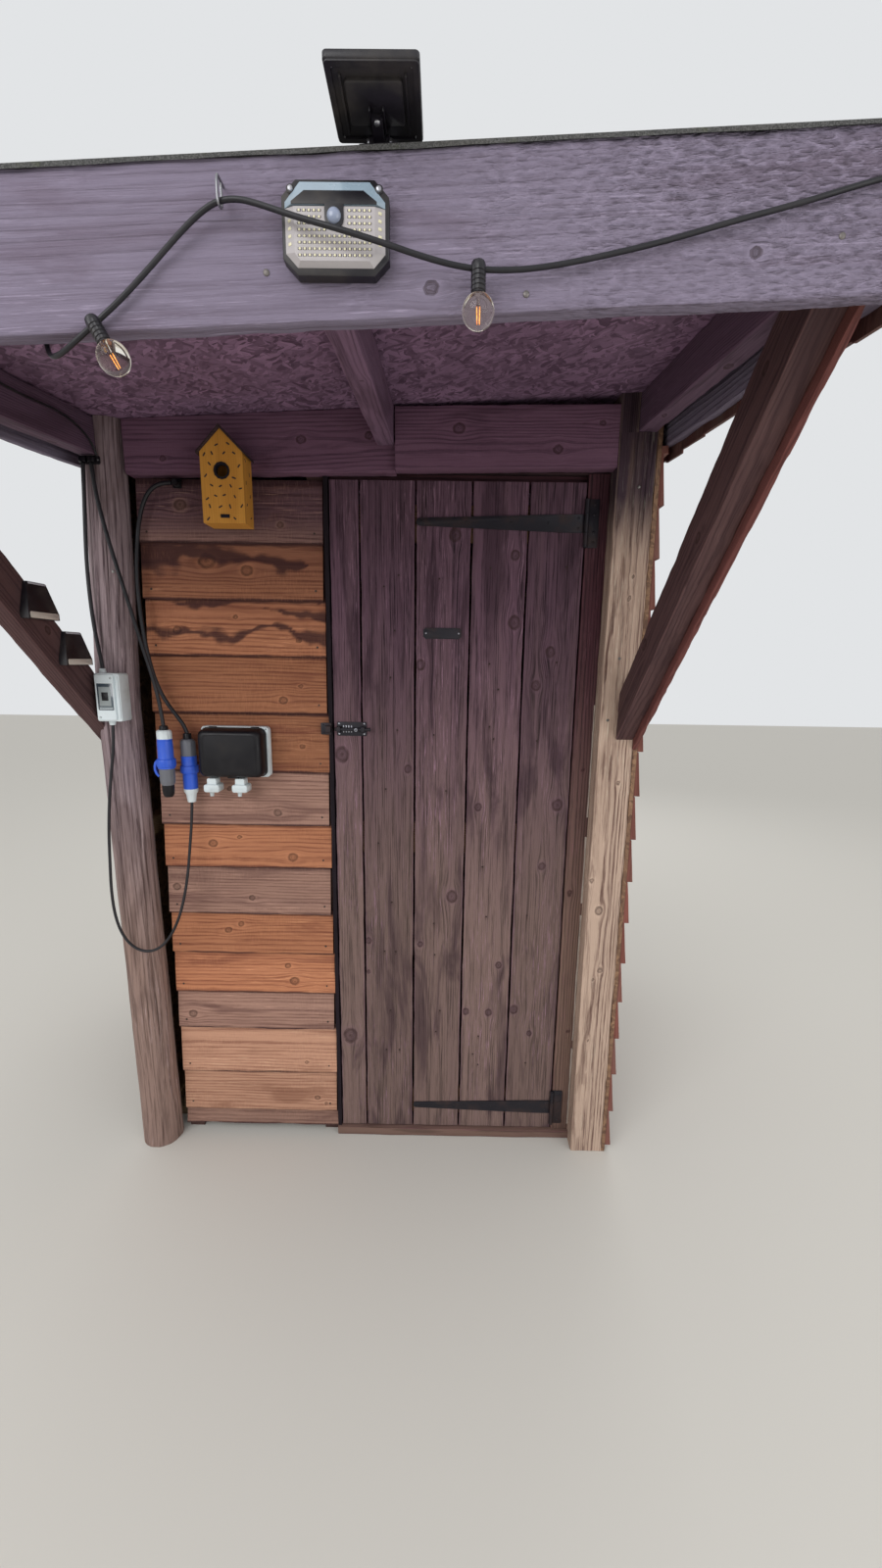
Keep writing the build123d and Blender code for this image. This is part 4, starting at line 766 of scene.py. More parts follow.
class OUTHOUSE_OT_cords(bpy.types.Operator):
    """Run the cables and the string of lamps"""

    bl_idname = "outhouse.cords"
    bl_label = "Cables and string of lamps"

    def execute(self, context):
        fittings = context.scene.outhouse_fittings
        sheath = moulded(
            "Cable_sheath", tuple(fittings.cable), 0.45, dusty=0.12, dust=rgb(96, 92, 96), Specular_IOR_Level=0.4
        )
        holder = moulded("Lamp_holder", tuple(fittings.plastic), 0.4, dusty=0.2)
        glass = new_finish("Lamp_glass", (1.0, 0.97, 0.92), 0.03, IOR=1.2, Transmission_Weight=1.0)[0]
        glow, tree, link = new_finish("Lamp_filament", rgb(232, 150, 60), 0.4, Emission_Strength=1.0)
        coil = object_place(tree).noise(900.0, 1.0).span(0.3, 0.7)
        warm = mixed(coil, rgb(206, 110, 40), rgb(255, 190, 96))
        link(Base_Color=warm, Emission_Color=warm)
        cable("breaker_feed", BREAKER_FEED, 10, sheath, "supply_cables")
        cable("coupler_feed", COUPLER_FEED, 10, sheath)
        cable("rafter_lead", RAFTER_LEAD, 5, sheath)
        cable("wall_cable", WALL_CABLE, 11, sheath)
        loop = cable("slack_loop", LOOP_CABLE, 8, sheath, "loop_cable")
        string = cable("lamp_string", FESTOON, 6, sheath, "festoon_cord")
        lamps = lamp_pieces(context, holder, glass, glow)
        return {"FINISHED"}


class OUTHOUSE_OT_stage(bpy.types.Operator):
    """Lay a plain pale floor and set soft studio light"""

    bl_idname = "outhouse.stage"
    bl_label = "Stage"

    def execute(self, context):
        fittings = context.scene.outhouse_fittings
        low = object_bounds()[0].z - 0.0005
        corners = [(14.0 * x, 14.0 * y, low) for x, y in ((-1, -1), (1, -1), (1, 1), (-1, 1))]
        sheet = bpy.data.meshes.new("stage_floor")
        sheet.from_pydata(corners, [], [(0, 1, 2, 3)])
        floor = bpy.data.objects.new("stage_floor", sheet)
        context.scene.collection.objects.link(floor)
        sheet.materials.append(new_finish("Stage_floor", tuple(fittings.floor), 0.9)[0])
        floor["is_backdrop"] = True
        world = bpy.data.worlds.new("soft_surroundings")
        context.scene.world = world
        world.use_nodes = True
        tree = world.node_tree
        tree.nodes.clear()
        seen = node(tree, "ShaderNodeLightPath").outputs
        eye, glossy, through = (Field(seen[f"Is {ray} Ray"]) for ray in ("Camera", "Glossy", "Transmission"))
        plain = eye.maths("MAXIMUM", eye, eye.maths("MAXIMUM", glossy, through))
        light = plain.node("ShaderNodeBackground", Color=(1.0, 0.99, 0.975), Strength=0.72)
        pale = plain.node("ShaderNodeBackground", Color=tuple(fittings.backdrop), Strength=1.0)
        node(tree, "ShaderNodeOutputWorld", Surface=plain.node("ShaderNodeMixShader", i0=plain, i1=light, i2=pale))
        for label, place, aim, power, size in (
            ("key_light", (-1.9, -3.4, 3.1), (0.0, 0.0, 1.1), 70.0, 2.6),
            ("fill_light", (2.6, -2.8, 1.6), (0.1, 0.0, 1.2), 26.0, 2.4),
            ("back_light", (1.2, 4.2, 3.6), (0.0, 0.6, 1.2), 40.0, 3.0),
        ):
            lamp = bpy.data.lights.new(label, "AREA")
            lamp.energy, lamp.size = power, size
            made = bpy.data.objects.new(label, lamp)
            made.location = place
            towards = Vector(aim) - Vector(place)
            made.rotation_euler = towards.to_track_quat("-Z", "Y").to_euler()
            context.scene.collection.objects.link(made)
        context.scene.view_settings.view_transform = "Standard"
        return {"FINISHED"}


# ---- Timber ----

# Lapped boards from the ground up: lower edge, brightness, which finish it has, how far its right end
# stops short, how much its right end drops, and its knots as (x, z, radius) in millimetres
LAP_BOARDS = (
    (0.030, 0.40, "dull", 0.000, 0.002, ()),
    (0.083, 0.50, "pale", 0.004, 0.003, ((-190, 130, 8), (-160, 110, 6))),
    (0.224, 0.62, "pale", 0.001, -0.003, ((-220, 260, 6),)),
    (0.384, 0.62, "dull", 0.006, 0.004, ((-580, 430, 11),)),
    (0.510, 0.66, "bright", 0.000, -0.002, ((-270, 600, 8), (-250, 550, 12))),
    (0.646, 0.46, "bright", 0.003, 0.002, ((-450, 720, 9), (-410, 740, 8))),
    (0.778, 0.50, "dull", 0.007, 0.005, ((-600, 860, 10), (-370, 830, 8))),
    (0.927, 0.52, "bright", 0.001, -0.002, ((-480, 1000, 11), (-240, 960, 12), (-400, 1020, 6))),
    (1.061, 0.60, "dull", 0.005, 0.002, ((-280, 1100, 10), (-420, 1170, 7))),
    (1.223, 0.22, "bright", 0.000, 0.003, ((-200, 1300, 7),)),
    (1.392, 0.34, "bright", 0.004, -0.002, ((-200, 1470, 6), (-250, 1430, 10))),
    (1.553, 0.56, "bright", 0.002, 0.003, ((-376, 1660, 6), (-540, 1622, 10), (-200, 1600, 7))),
    (1.704, 0.34, "bright", 0.006, 0.002, ((-446, 1806, 18), (-337, 1783, 13))),
    (1.852, 0.55, "dull", 0.003, 0.000, ((-508, 1948, 13), (-240, 1900, 8))),
)
LAP_SPAN = (-0.626, -0.1223)
LAP_BACK = 0.0177
LAP_BUTT = 0.022
LAP_THIN = 0.009

# Door boards, in millimetres: their left and right edges, then knots (x, z, radius) and nails (x, z) on any of them
DOOR_EDGES = ((-107, -29.3), (-23.7, 122.45), (128.05, 274.2), (279.8, 425.95), (431.55, 579))
DOOR_Z = (33, 2014)
DOOR_DEPTH = 20
DOOR_KNOTS = (
    (-76, 361, 20), (-15, 693, 9), (-16, 587, 6), (241, 843, 15),
    (146, 684, 8), (293, 454, 10), (365, 452, 10), (391, 617, 9),
    (314, 1126, 10), (547, 1136, 14), (511, 945, 10), (444, 465, 12),
    (497, 381, 8), (-86, 1277, 18), (232, 1880, 14), (140, 1536, 12),
    (396, 1830, 11), (400, 1654, 15), (504, 1575, 12), (468, 1483, 12), (106, 1237, 10),
)
DOOR_NAILS = (
    (41, 1176), (18, 1010), (58, 821), (35, 658), (70, 657), (53, 453), (39, 312),
    (81, 313), (218, 1173), (187, 754), (191, 649), (210, 456), (198, 381), (332, 940),
    (348, 779), (335, 367), (318, 302), (336, 264), (473, 785), (490, 273), (79, 1775),
    (39, 1745), (68, 1628), (56, 1499), (75, 1350), (191, 1767), (180, 1338), (330, 1797),
    (335, 1541), (362, 1470), (340, 1364), (353, 1329), (537, 1802), (523, 1547), (478, 1325),
)
# Knots (x, z, radius) and screws (x, z) of the square post and the fascia, in millimetres
POST_KNOTS = (
    (678, 1043, 4), (701, 1767, 5), (695, 1715, 5), (648, 923, 7),
    (675, 831, 11), (692, 640, 8), (673, 607, 4), (670, 404, 4), (703, 1215, 6),
)
POST_SCREWS = ((698, 1989), (681, 1560), (661, 1393))
FASCIA_SCREWS = ((-2, 1984), (657, 2026), (-520, 1930), (300, 1965))


def in_board(marks, low, high, middle):
    """The marks whose x lies between a board's edges, as timber() takes them: metres along and across the board from
    its middle, and a knot's radius."""
    centre = (low + high) / 2
    return [tuple(np.array((z - middle, x - centre, *size)) / 1000) for x, z, *size in marks if low < x < high]


# Stains on two lapped boards: each is rows of (share along the board, share of its visible height, half width)
STAINS = {
    11: (
        ((0.0, 0.46, 0.09), (0.10, 0.40, 0.11), (0.28, 0.43, 0.05), (0.40, 0.36, 0.12), (0.47, 0.30, 0.13),
         (0.56, 0.42, 0.05), (0.68, 0.58, 0.04), (0.78, 0.57, 0.05), (0.85, 0.40, 0.12), (1.0, 0.34, 0.17)),
        ((0.12, 0.97, 0.01), (0.25, 0.93, 0.07), (0.45, 0.95, 0.06), (0.55, 1.0, 0.01)),
        ((0.66, 0.85, 0.01), (0.80, 0.80, 0.06), (1.0, 0.72, 0.12)),
    ),
    12: (
        ((0.0, 0.80, 0.36), (0.18, 0.80, 0.32), (0.24, 0.88, 0.16), (0.32, 0.84, 0.15), (0.42, 0.80, 0.18),
         (0.50, 0.76, 0.12), (0.60, 0.75, 0.07), (0.70, 0.70, 0.08), (0.78, 0.64, 0.15), (0.88, 0.60, 0.09),
         (0.93, 0.58, 0.0)),
    ),
}


def shade_and_stains(half, top_edge, length, stains):
    """Painted shade, dirt and stains on a lapped board: a dark band just under the board above, painted shade with
    some dirt, a dark line along its own lower edge, painted shadow, and real stains. A stain's middle line and half
    width run straight between its rows, roughened by ripples, and it fades by the square of the distance over that
    half width."""

    def share(run, wide):
        # Painted shade: a band just under the board above, with some dirt, and a painted shadow along the lower edge
        total = np.maximum(np.clip(1 - (top_edge - wide) / 0.010, 0, 1), np.clip(1.6 - (wide + half) / 0.002, 0, 1))
        for rows in stains:
            at, centre, width = np.array(rows).T
            high = (wide + half) / (top_edge + half)
            line = np.interp(run / length, at, centre) + ripple(run, wide, 61, 0.07, 0.04)
            broad = np.interp(run / length, at, width, 0, width[-1]) * (1 + ripple(run, wide, 62, 0.04, 0.5))
            total = np.maximum(total, np.exp(-(((high - line) / (broad + 1e-4)) ** 2)) * 0.9)
        return total

    return share


class OUTHOUSE_OT_lapped_boards(bpy.types.Operator):
    """Nail the lapped boards left of the door, each tapering upwards under the next"""

    bl_idname = "outhouse.lapped_boards"
    bl_label = "Lapped boards"

    def execute(self, context):
        timbers = context.scene.outhouse_timber
        # Colour of the real stains and of the painted shade under each lap and along each lower edge
        dark = rgb(56, 32, 36)
        # From a height upwards each board turns dark purple, by share and high below: painted shade under the canopy
        finishes = {
            kind: wood(
                f"Lapped_board_{kind}", early, late, ring=0.010, contrast=0.5, sawn=0.7, spread=0.4, shade_and_stain_colour=dark,
                relief=0.0007, fibre=0.5, blotch=(0.5, cloud), fleck=0.35, weather_and_shade=(rgb(80, 54, 72), share, high),
            )
            for kind, early, late, cloud, share, high in (
                ("bright", tuple(timbers.lap), rgb(112, 62, 46), rgb(112, 62, 50), 0.35, (1.5, 2.0)),
                ("dull", tuple(timbers.lap_dull), rgb(98, 68, 62), rgb(92, 62, 58), 0.8, (1.78, 1.95)),
                ("pale", rgb(184, 140, 116), rgb(128, 86, 70), rgb(124, 82, 64), 0.0, (1.5, 2.0)),
            )
        }
        piles = {kind: Pile() for kind in finishes}
        heads = Pile()
        tuck = 0.010
        uppers = [board[0] + tuck for board in LAP_BOARDS[1:]] + [None]
        for number, (lower, tone, kind, short, drop, knots) in enumerate(LAP_BOARDS):
            upper = uppers[number]
            height = (upper or HEADER_HEIGHT - 0.010) - lower
            middle = lower + height / 2
            right = LAP_SPAN[1] - short
            along = np.array((1, 0, -drop)) / np.hypot(1, drop)
            across = np.cross(along, Y)
            thin = LAP_THIN if upper else LAP_THIN - 0.001
            timber(
                piles[kind], (LAP_SPAN[0], LAP_BACK - LAP_BUTT / 2, middle), along, across, height, LAP_BUTT, 0.0,
                right - LAP_SPAN[0], ease=0.0015, spacing=0.009, front=max(6, int(height / 0.007)), sides=2,
                seed=100 + number, tone=tone,
                knots=[(x / 1000 - LAP_SPAN[0], z / 1000 - middle, radius / 1000) for x, z, radius in knots],
                rough=0.0006, wander=(0.0016, 0.0), thin=thin, worn=0.0008, out=-Y,
                # Third mark: painted shade under the lap and along the lower edge, and real stains
                stain=shade_and_stains(height / 2, height / 2 - tuck, right - LAP_SPAN[0], STAINS.get(number, ())),
            )
            for x in (LAP_SPAN[0] + 0.024, LAP_SPAN[1] - 0.026):
                if height > 0.09:
                    screw_head(heads, np.multiply(1000, (x, LAP_BACK - LAP_BUTT + 0.0026, lower + 0.026)), -Y, 3.2)
        for kind, pile in piles.items():
            nodes = ["front_cladding"] if kind == "bright" else []
            pile.piece(f"lapped_boards_{kind}", finishes[kind], "lap_board", *nodes)
        heads.piece("lapped_board_nails", moulded("Dull_nail", rgb(74, 66, 62), 0.5, Metallic=0.7), "black_iron")
        return {"FINISHED"}


class OUTHOUSE_OT_door(bpy.types.Operator):
    """Lay up the door: five boards, three ledges behind them and their nails"""

    bl_idname = "outhouse.door"
    bl_label = "Door"

    def execute(self, context):
        timbers = context.scene.outhouse_timber
        finish = wood(
            "Door_board", tuple(timbers.door), rgb(30, 18, 26), ring=0.0060, contrast=0.35, fibre=0.95, figure=0.8,
            weather_and_shade=(tuple(timbers.door_low), 0.9, (1.85, 0.6)), spread=0.25, relief=0.0013,
            blotch=(0.6, rgb(50, 32, 42)), worn=0.5, fleck=0.8,
        )
        boards, nails = Pile(), Pile()
        middle = sum(DOOR_Z) / 2
        for number, (low, high) in enumerate(DOOR_EDGES):
            width, depth = (high - low) / 1000, DOOR_DEPTH / 1000
            timber(
                boards, ((low + high) / 2000, depth / 2, middle / 1000), Z, X, width, depth,
                (DOOR_Z[0] - middle) / 1000, (DOOR_Z[1] - middle) / 1000, ease=timbers.arris, spacing=timbers.knot_grid,
                front=max(10, int(width / 0.0065)), back=3, seed=200 + number,
                tone=(0.56, 0.36, 0.50, 0.64, 0.38)[number], knots=in_board(DOOR_KNOTS, low, high, middle),
                nails=in_board(DOOR_NAILS, low, high, middle), worn=0.0012, rough=0.0005, wander=(0.0006, 0.0006),
            )
            for x, z in DOOR_NAILS:
                if low < x < high:
                    screw_head(nails, (x, 0.2, z), -Y, 2.6)
        boards.piece("door_planks", finish, "door_board", "door_boards", body="door")
        nails.piece("door_nails", moulded("Rusty_nail", rgb(52, 38, 34), 0.7, Metallic=0.4), "black_iron", body="door")
        ledges = Pile()
        low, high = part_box("door_ledges")
        for number, z in enumerate((0.112, 1.0235, 1.912)):
            timber(
                ledges, ((low.x + high.x) / 2, (low.y + high.y) / 2, z), X, Z, 0.095, high.y - low.y,
                -(high.x - low.x) / 2, (high.x - low.x) / 2, seed=230 + number, rough=0.0003, worn=0.001,
            )
        rear = wood("Door_ledge", rgb(150, 118, 92), rgb(98, 68, 50), ring=0.007, spread=0.2)
        ledges.piece("door_ledge_timbers", rear, "door_board", "door_ledges", body="door")
        return {"FINISHED"}


class OUTHOUSE_OT_front_frame(bpy.types.Operator):
    """Set up the posts, header boards, jambs and sill round the door"""

    bl_idname = "outhouse.front_frame"
    bl_label = "Posts, header and jambs"

    def execute(self, context):
        timbers = context.scene.outhouse_timber
        self.header(timbers)
        self.jambs(timbers)
        self.square_post(timbers)
        self.round_pole(timbers)
        return {"FINISHED"}

    def header(self, timbers):
        finish = wood(
            "Header_board", tuple(timbers.header), rgb(66, 44, 60), ring=0.008, contrast=0.45, spread=0.25,
            blotch=(0.6, rgb(66, 42, 56)), sawn=0.3, fleck=0.2,
        )
        boards = Pile()
        left, right = (-0.6275, 0.074), (0.0750, 0.6397)
        slope = np.array((1, 0, HEADER_RISE)) / np.hypot(1, HEADER_RISE)
        low_height = roof_at(left[0], -0.038) - 0.0008 - (HEADER_HEIGHT + HEADER_RISE * left[0])
        foot = np.array((left[0], -0.0155, HEADER_HEIGHT + HEADER_RISE * left[0] + low_height / 2))
        centre = np.array((sum(right) / 2, -0.0355, HEADER_HEIGHT + HEADER_RISE * 0.357 + 0.0725))
        for middle, height, ends, spacing, seed, tone, worn, flare, nails, knots in (
            (foot, low_height, left, 0.009, 301, 0.5, 0.001, RISE_RIGHT - HEADER_RISE, ((0.645, 0.025),),
             ((0.46, 0.012, 0.010), (0.635, 0.02, 0.009), (0.10, -0.03, 0.007))),
            (centre, 0.145, right, 0.010, 302, 0.55, 0.0012, 0.0, ((0.20, 0.03),),
             ((-0.12, 0.02, 0.012), (0.13, -0.03, 0.010), (0.24, 0.03, 0.007))),
        ):
            timber(
                boards, middle, slope, np.cross(slope, Y), height, 0.045, *map(cut_at, ends), front=20, spacing=spacing,
                seed=seed, tone=tone, rough=0.0007, worn=worn, knots=knots, nails=nails, out=-Y, flare=flare,
            )
        boards.piece("header_timbers", finish, "header_board", "header_boards")

    def jambs(self, timbers):
        finish = wood(
            "Jamb_board", tuple(timbers.jamb), rgb(34, 18, 28), ring=0.006, contrast=0.6, spread=0.3,
            blotch=(0.35, rgb(56, 38, 40)), worn=0.5, weather_and_shade=(rgb(126, 102, 90), 0.85, (1.75, 0.6)), fleck=0.5,
        )
        boards, strips = Pile(), Pile()
        right_knots = ((0.39, 0.010, 0.006), (0.86, -0.012, 0.008), (1.24, 0.004, 0.005))
        for pile, x, y, top, seed, tone, knots in (
            (boards, (0.584, 0.6397), (0.0, 0.047), 2.0357, 320, 0.5, right_knots),
            (strips, (-0.122, -0.1103), (-0.0043, 0.065), 2.021, 321, 0.3, ()),
            (strips, (-0.110, -0.0903), (0.025, 0.047), 1.999, 322, 0.3, ()),
        ):
            timber(
                pile, (sum(x) / 2, sum(y) / 2, 0), Z, X, x[1] - x[0], y[1] - y[0], SILL_TOP, top, front=8, sides=4,
                spacing=0.014, seed=seed, tone=tone, rough=0.0006, worn=0.0018, knots=knots, ease=0.0015,
            )
        timber(boards, (0.2370, 0.036, 2.0175), X, Z, 0.0365, 0.022, -0.3467, 0.3467, seed=325, tone=0.3, ease=0.0015)
        timber(
            boards, (0.25885, 0.0265, 0.0145), X, Z, 0.027, 0.077, -0.38085, 0.38085, seed=326, tone=0.45, worn=0.003,
            rough=0.0008,
        )
        boards.piece("jamb_timbers", finish, "jamb_board", "door_frame", "door_sill")
        # Near-black wood on the two side strips: painted shade in the gap beside the door
        dark = wood("Painted_shade_strip", rgb(34, 24, 32), rgb(20, 14, 20), worn=0.2)
        strips.piece("door_side_strips", dark, "jamb_board")
        bead = Pile()
        for number, (low, high) in enumerate(((0.05, 0.33), (0.36, 0.79), (0.83, 1.04), (1.10, 1.43))):
            timber(
                bead, (0.6374, -0.0018, 0), Z, X, 0.0042, 0.0036, low, high, ease=0.0006, front=1, spacing=0.006,
                seed=330 + number, rough=0.0008, wander=(0.0012, 0.0),
            )
        bead.piece(
            "old_filler_bead", moulded("Old_filler", rgb(176, 164, 154), 0.8, speck=0.3, dusty=0.5), "jamb_board"
        )

    def square_post(self, timbers):
        # Towards its top the post turns dark purple: painted shade under the roof
        finish = wood(
            "Square_post", tuple(timbers.post), rgb(100, 74, 66), ring=0.0042, fibre=0.75, figure=0.3,
            weather_and_shade=(rgb(48, 30, 48), 0.95, (1.78, 2.0)), fleck=0.3, relief=0.0010, worn=0.3, spread=0.1,
            blotch=(0.3, rgb(130, 106, 92)),
        )
        post, screws = Pile(), Pile()
        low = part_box("right_post")[0]
        centre = (low.x + 0.049, low.y + 0.049, 0)
        knots = [(z / 1000, x / 1000 - centre[0], radius / 1000) for x, z, radius in POST_KNOTS]
        timber(
            post, centre, Z, X, 0.098, 0.098, 0.0, below_roof(UNDER_RAFTER), front=16, sides=10, back=6, spacing=0.014,
            seed=341, rough=0.0006, worn=0.002, ease=0.003, knots=knots, wander=(0.0008, 0.0008),
        )
        timber(
            post, (0.66385, centre[1], 2.1), Z, X, 0.0477, 0.098, below_roof(UNDER_RAFTER), below_roof(UNDER_BOARDS),
            seed=342, tone=0.3,
        )
        post.piece("square_post", finish, "frame_timber", "right_post")
        for x, z in POST_SCREWS:
            screw_head(screws, (x, low.y * 1000 - 0.2, z), -Y, 4.2)
        steel = moulded("Dull_steel", rgb(120, 116, 112), 0.45, Metallic=0.8)
        screws.piece("post_screws", steel, "bright_steel")

    def round_pole(self, timbers):
        finish = wood(
            "Round_pole", tuple(timbers.pole), rgb(68, 53, 58), ring=0.004, contrast=0.45, fibre=0.8, fleck=0.6,
            weather_and_shade=(rgb(146, 118, 102), 0.7, (1.3, 0.6)), relief=0.0014, spread=0.2, blotch=(0.4, rgb(78, 58, 54)),
            worn=0,
        )
        pile = Pile()
        self.pole_length(pile, 0.0, below_roof(UNDER_RAFTER), None)
        self.pole_length(pile, below_roof(UNDER_RAFTER), below_roof(UNDER_BOARDS), -0.6807)
        pile.piece("round_pole_surface", finish, "pole_timber", "left_post", sharp=50)
        screws = Pile()
        for x, z in ((-668, 1765), (-673, 1500), (-672, 1930)):
            screw_head(screws, (x, -66.5, z), (0.25, -1, 0), 4)
        screws.piece("pole_screws", moulded("Weathered_steel", rgb(150, 148, 146), 0.5, Metallic=0.6), "bright_steel")

    def pole_length(self, pile, start, end, flat):
        """A length of the pole: a circle whose centre and radius run straight between three heights, with long
        shallow hollows, and shakes cut as narrow V grooves that start, wander and end. flat is the x that it is cut
        off at on its left."""
        heights, centres, radii = (0.0, 1.400, 2.220), (-0.698, -0.711, -0.679), (0.060, 0.056, 0.051)
        angle = np.linspace(0, 2 * pi, 96, endpoint=False)
        base = np.stack((-0.69 + 0.052 * np.cos(angle), -0.02 + 0.052 * np.sin(angle), 0 * angle), axis=-1)
        first, last = reach(base, Z, start), reach(base, Z, end)
        steps = max(2, int((last - first).max() / 0.016))
        height = first + (last - first) * np.linspace(0, 1, steps + 1)[:, None]
        around = np.broadcast_to(angle, height.shape)
        radius = np.interp(height, heights, radii)
        arc = around * 0.05
        hollow = ripple(arc, height * 0.25, 51, 0.10, 0.0012) + ripple(arc, height * 0.1, 52, 0.02, 0.0006)
        grooves = np.zeros(height.shape)
        for turn, low, high, depth in (
            (4.55, 0.95, 2.15, 0.006), (5.05, 1.45, 1.98, 0.004), (4.2, 1.20, 1.75, 0.004), (5.5, 0.2, 1.3, 0.005),
            (3.7, 0.4, 1.6, 0.005), (4.9, 0.15, 1.0, 0.003), (1.2, 0.3, 1.9, 0.006), (2.4, 0.1, 1.2, 0.004),
        ):
            line = turn + ripple(height, 0 * height, int(turn * 100), 0.4, 0.05)
            ends = np.clip((height - low) / 0.15, 0, 1) * np.clip((high - height) / 0.15, 0, 1)
            grooves = np.maximum(grooves, depth * ends * np.clip(1 - abs(around - line) / 0.075, 0, 1))
        radius = radius + hollow - grooves - 0.0006
        x = np.interp(height, heights, centres) + radius * np.cos(around)
        if flat is not None:
            x = np.maximum(x, flat)
        points = np.stack((x, -0.02 + radius * np.sin(around), height), axis=-1)
        grain = np.stack((height, radius * np.cos(around), radius * np.sin(around)), axis=-1)
        mark = np.stack((0 * height, np.clip(grooves / 0.006, 0, 1) * 0.75, 0 * height), axis=-1)
        pile.grid(points, grain, 0.5, mark)


class OUTHOUSE_OT_roof_timbers(bpy.types.Operator):
    """Frame the roof: rafters, fascia and barge boards, braces and the ragged verge strip"""

    bl_idname = "outhouse.roof_timbers"
    bl_label = "Roof timbers"

    def execute(self, context):
        timbers = context.scene.outhouse_timber
        self.rafters()
        self.edges(timbers)
        self.braces(timbers)
        return {"FINISHED"}

    def rafters(self):
        finish = wood(
            "Rafter", rgb(108, 84, 104), rgb(64, 46, 60), contrast=0.5, spread=0.4,
            blotch=(0.4, rgb(66, 46, 58)), worn=0.4, fleck=0.2,
        )
        slope = np.array((0, 1, RISE_BACK)) / np.hypot(1, RISE_BACK)
        whole = ROOF_FRONT, ROOF_BACK
        for name, node_name, tone, runs in (
            ("side_rafter_timbers", "side_rafters", 0.4, ((-0.704, *whole), (0.711, *whole))),
            ("centre_rafter_timbers", "centre_rafters", 1.0, ((0.049, whole[0], -0.0383), (0.049, 0.0073, whole[1]))),
        ):
            pile = Pile()
            for number, (x, front, back) in enumerate(runs):
                timber(
                    pile, (x, 0, roof_at(x, 0) - 0.0458), slope, X, 0.0455, 0.0880, cut_at(front, Y), cut_at(back, Y),
                    front=6, sides=10, back=6, spacing=0.03, seed=410 + number, tone=tone,
                    knots=((-0.5, 0.004, 0.008), (-0.2, -0.008, 0.006), (0.5, 0.0, 0.008)), rough=0.0007, worn=0.002,
                    out=(0, RISE_BACK, -1), ease=0.0025,
                )
            pile.piece(name, finish, "frame_timber", node_name)

    def edges(self, timbers):
        finish = wood(
            "Fascia_board", tuple(timbers.fascia), rgb(88, 78, 92), ring=0.012, contrast=0.2, fibre=0.3, spread=0.2,
            sawn=3.2, sawn_marked=True, teeth=(62, 190, 190), relief=0.0034, blotch=(0.35, rgb(90, 74, 88)),
            worn=0, roughness=0.86, fleck=0.3,
        )
        front_pile, others, screws = Pile(), Pile(), Pile()
        slope = np.array((1, 0, RISE_RIGHT)) / np.hypot(1, RISE_RIGHT)
        upright = np.array((-RISE_RIGHT, 0, 1)) / np.hypot(1, RISE_RIGHT)
        for pile, y, thick, top, depth, out, seed, rows, spacing in (
            (front_pile, -0.892, 0.0235, 0.0100, 0.1665, -Y, 430, 30, 0.008),
            (others, 1.2114, 0.0215, 0.0105, 0.1310, Y, 431, 6, 0.04),
        ):
            middle = (0, y, roof_at(0, y) + top - depth / 2)
            timber(
                pile, middle, slope, upright, depth, thick, cut_at(-0.797), cut_at(0.784), front=rows, sides=3, back=4,
                spacing=spacing, seed=seed, rough=0.0006, worn=0.0018, wander=(0.0004, 0.0004), out=out,
                knots=((0.187, -0.055, 0.007), (0.56, -0.035, 0.006), (-0.62, -0.03, 0.005)),
                nails=((0.47, 0.02), (-0.17, -0.05)), stain=self.torn,
            )
        run = np.array((0, 1, RISE_BACK)) / np.hypot(1, RISE_BACK)
        for x, depth, out, seed in ((-0.786, 0.0945, -X, 440), (0.773, 0.1215, X, 441)):
            timber(
                others, (x, 0, roof_at(x, 0) - 0.0008 - depth / 2), run, Z, depth, 0.0218, cut_at(ROOF_FRONT, Y),
                cut_at(ROOF_BACK, Y), front=8, sides=3, back=6, spacing=0.03, seed=seed, tone=0.45, rough=0.0008,
                worn=0.003, wander=(0.0015, 0.0), out=out, stain=self.torn,
            )
        front_pile.piece("front_fascia", finish, "fascia_board", "fascia_boards")
        others.piece("back_and_side_edges", finish, "fascia_board", "barge_boards")
        for x, z in FASCIA_SCREWS:
            screw_head(screws, (x, -903.8, z), -Y, 3.8)
        screws.piece("fascia_screws", moulded("Fascia_screw", rgb(128, 122, 120), 0.45, Metallic=0.8), "bright_steel")
        strip, face, top = Pile(), 0.7845, 0.0105
        draw = np.random.default_rng(77)
        here = -0.904
        while here < ROOF_BACK - 0.001:
            there = min(here + draw.uniform(0.09, 0.19), ROOF_BACK)
            fall = draw.uniform(0.146, 0.1665)
            thick = draw.uniform(0.006, 0.0086)
            timber(
                strip, (face + thick / 2, (here + there) / 2, 0), -Z, Y, there - here - 0.002, thick, below_roof(-top),
                below_roof(fall - top), back=1, spacing=0.03, seed=int(here * 1000) + 3000, tone=draw.uniform(0.2, 0.8),
                rough=0.0007, worn=0.003, out=X, ease=0.0012,
            )
            here = there
        ragged = wood(
            "Verge_shingle", rgb(98, 62, 58), rgb(52, 32, 34), ring=0.004, contrast=0.5, relief=0.0012,
            weather_and_shade=(rgb(128, 112, 104), 0.5, None),
        )
        strip.piece("verge_shingles", ragged, "shingle", "verge_strip")

    def torn(self, run, wide):
        """How rough the sawing left a fascia: little at the left, most towards the right and its upper half."""
        return np.clip(0.12 + 0.9 * (run - 0.05) / 0.6 + 2.5 * wide + ripple(run, wide, 81, 0.2, 0.25), 0.05, 1)

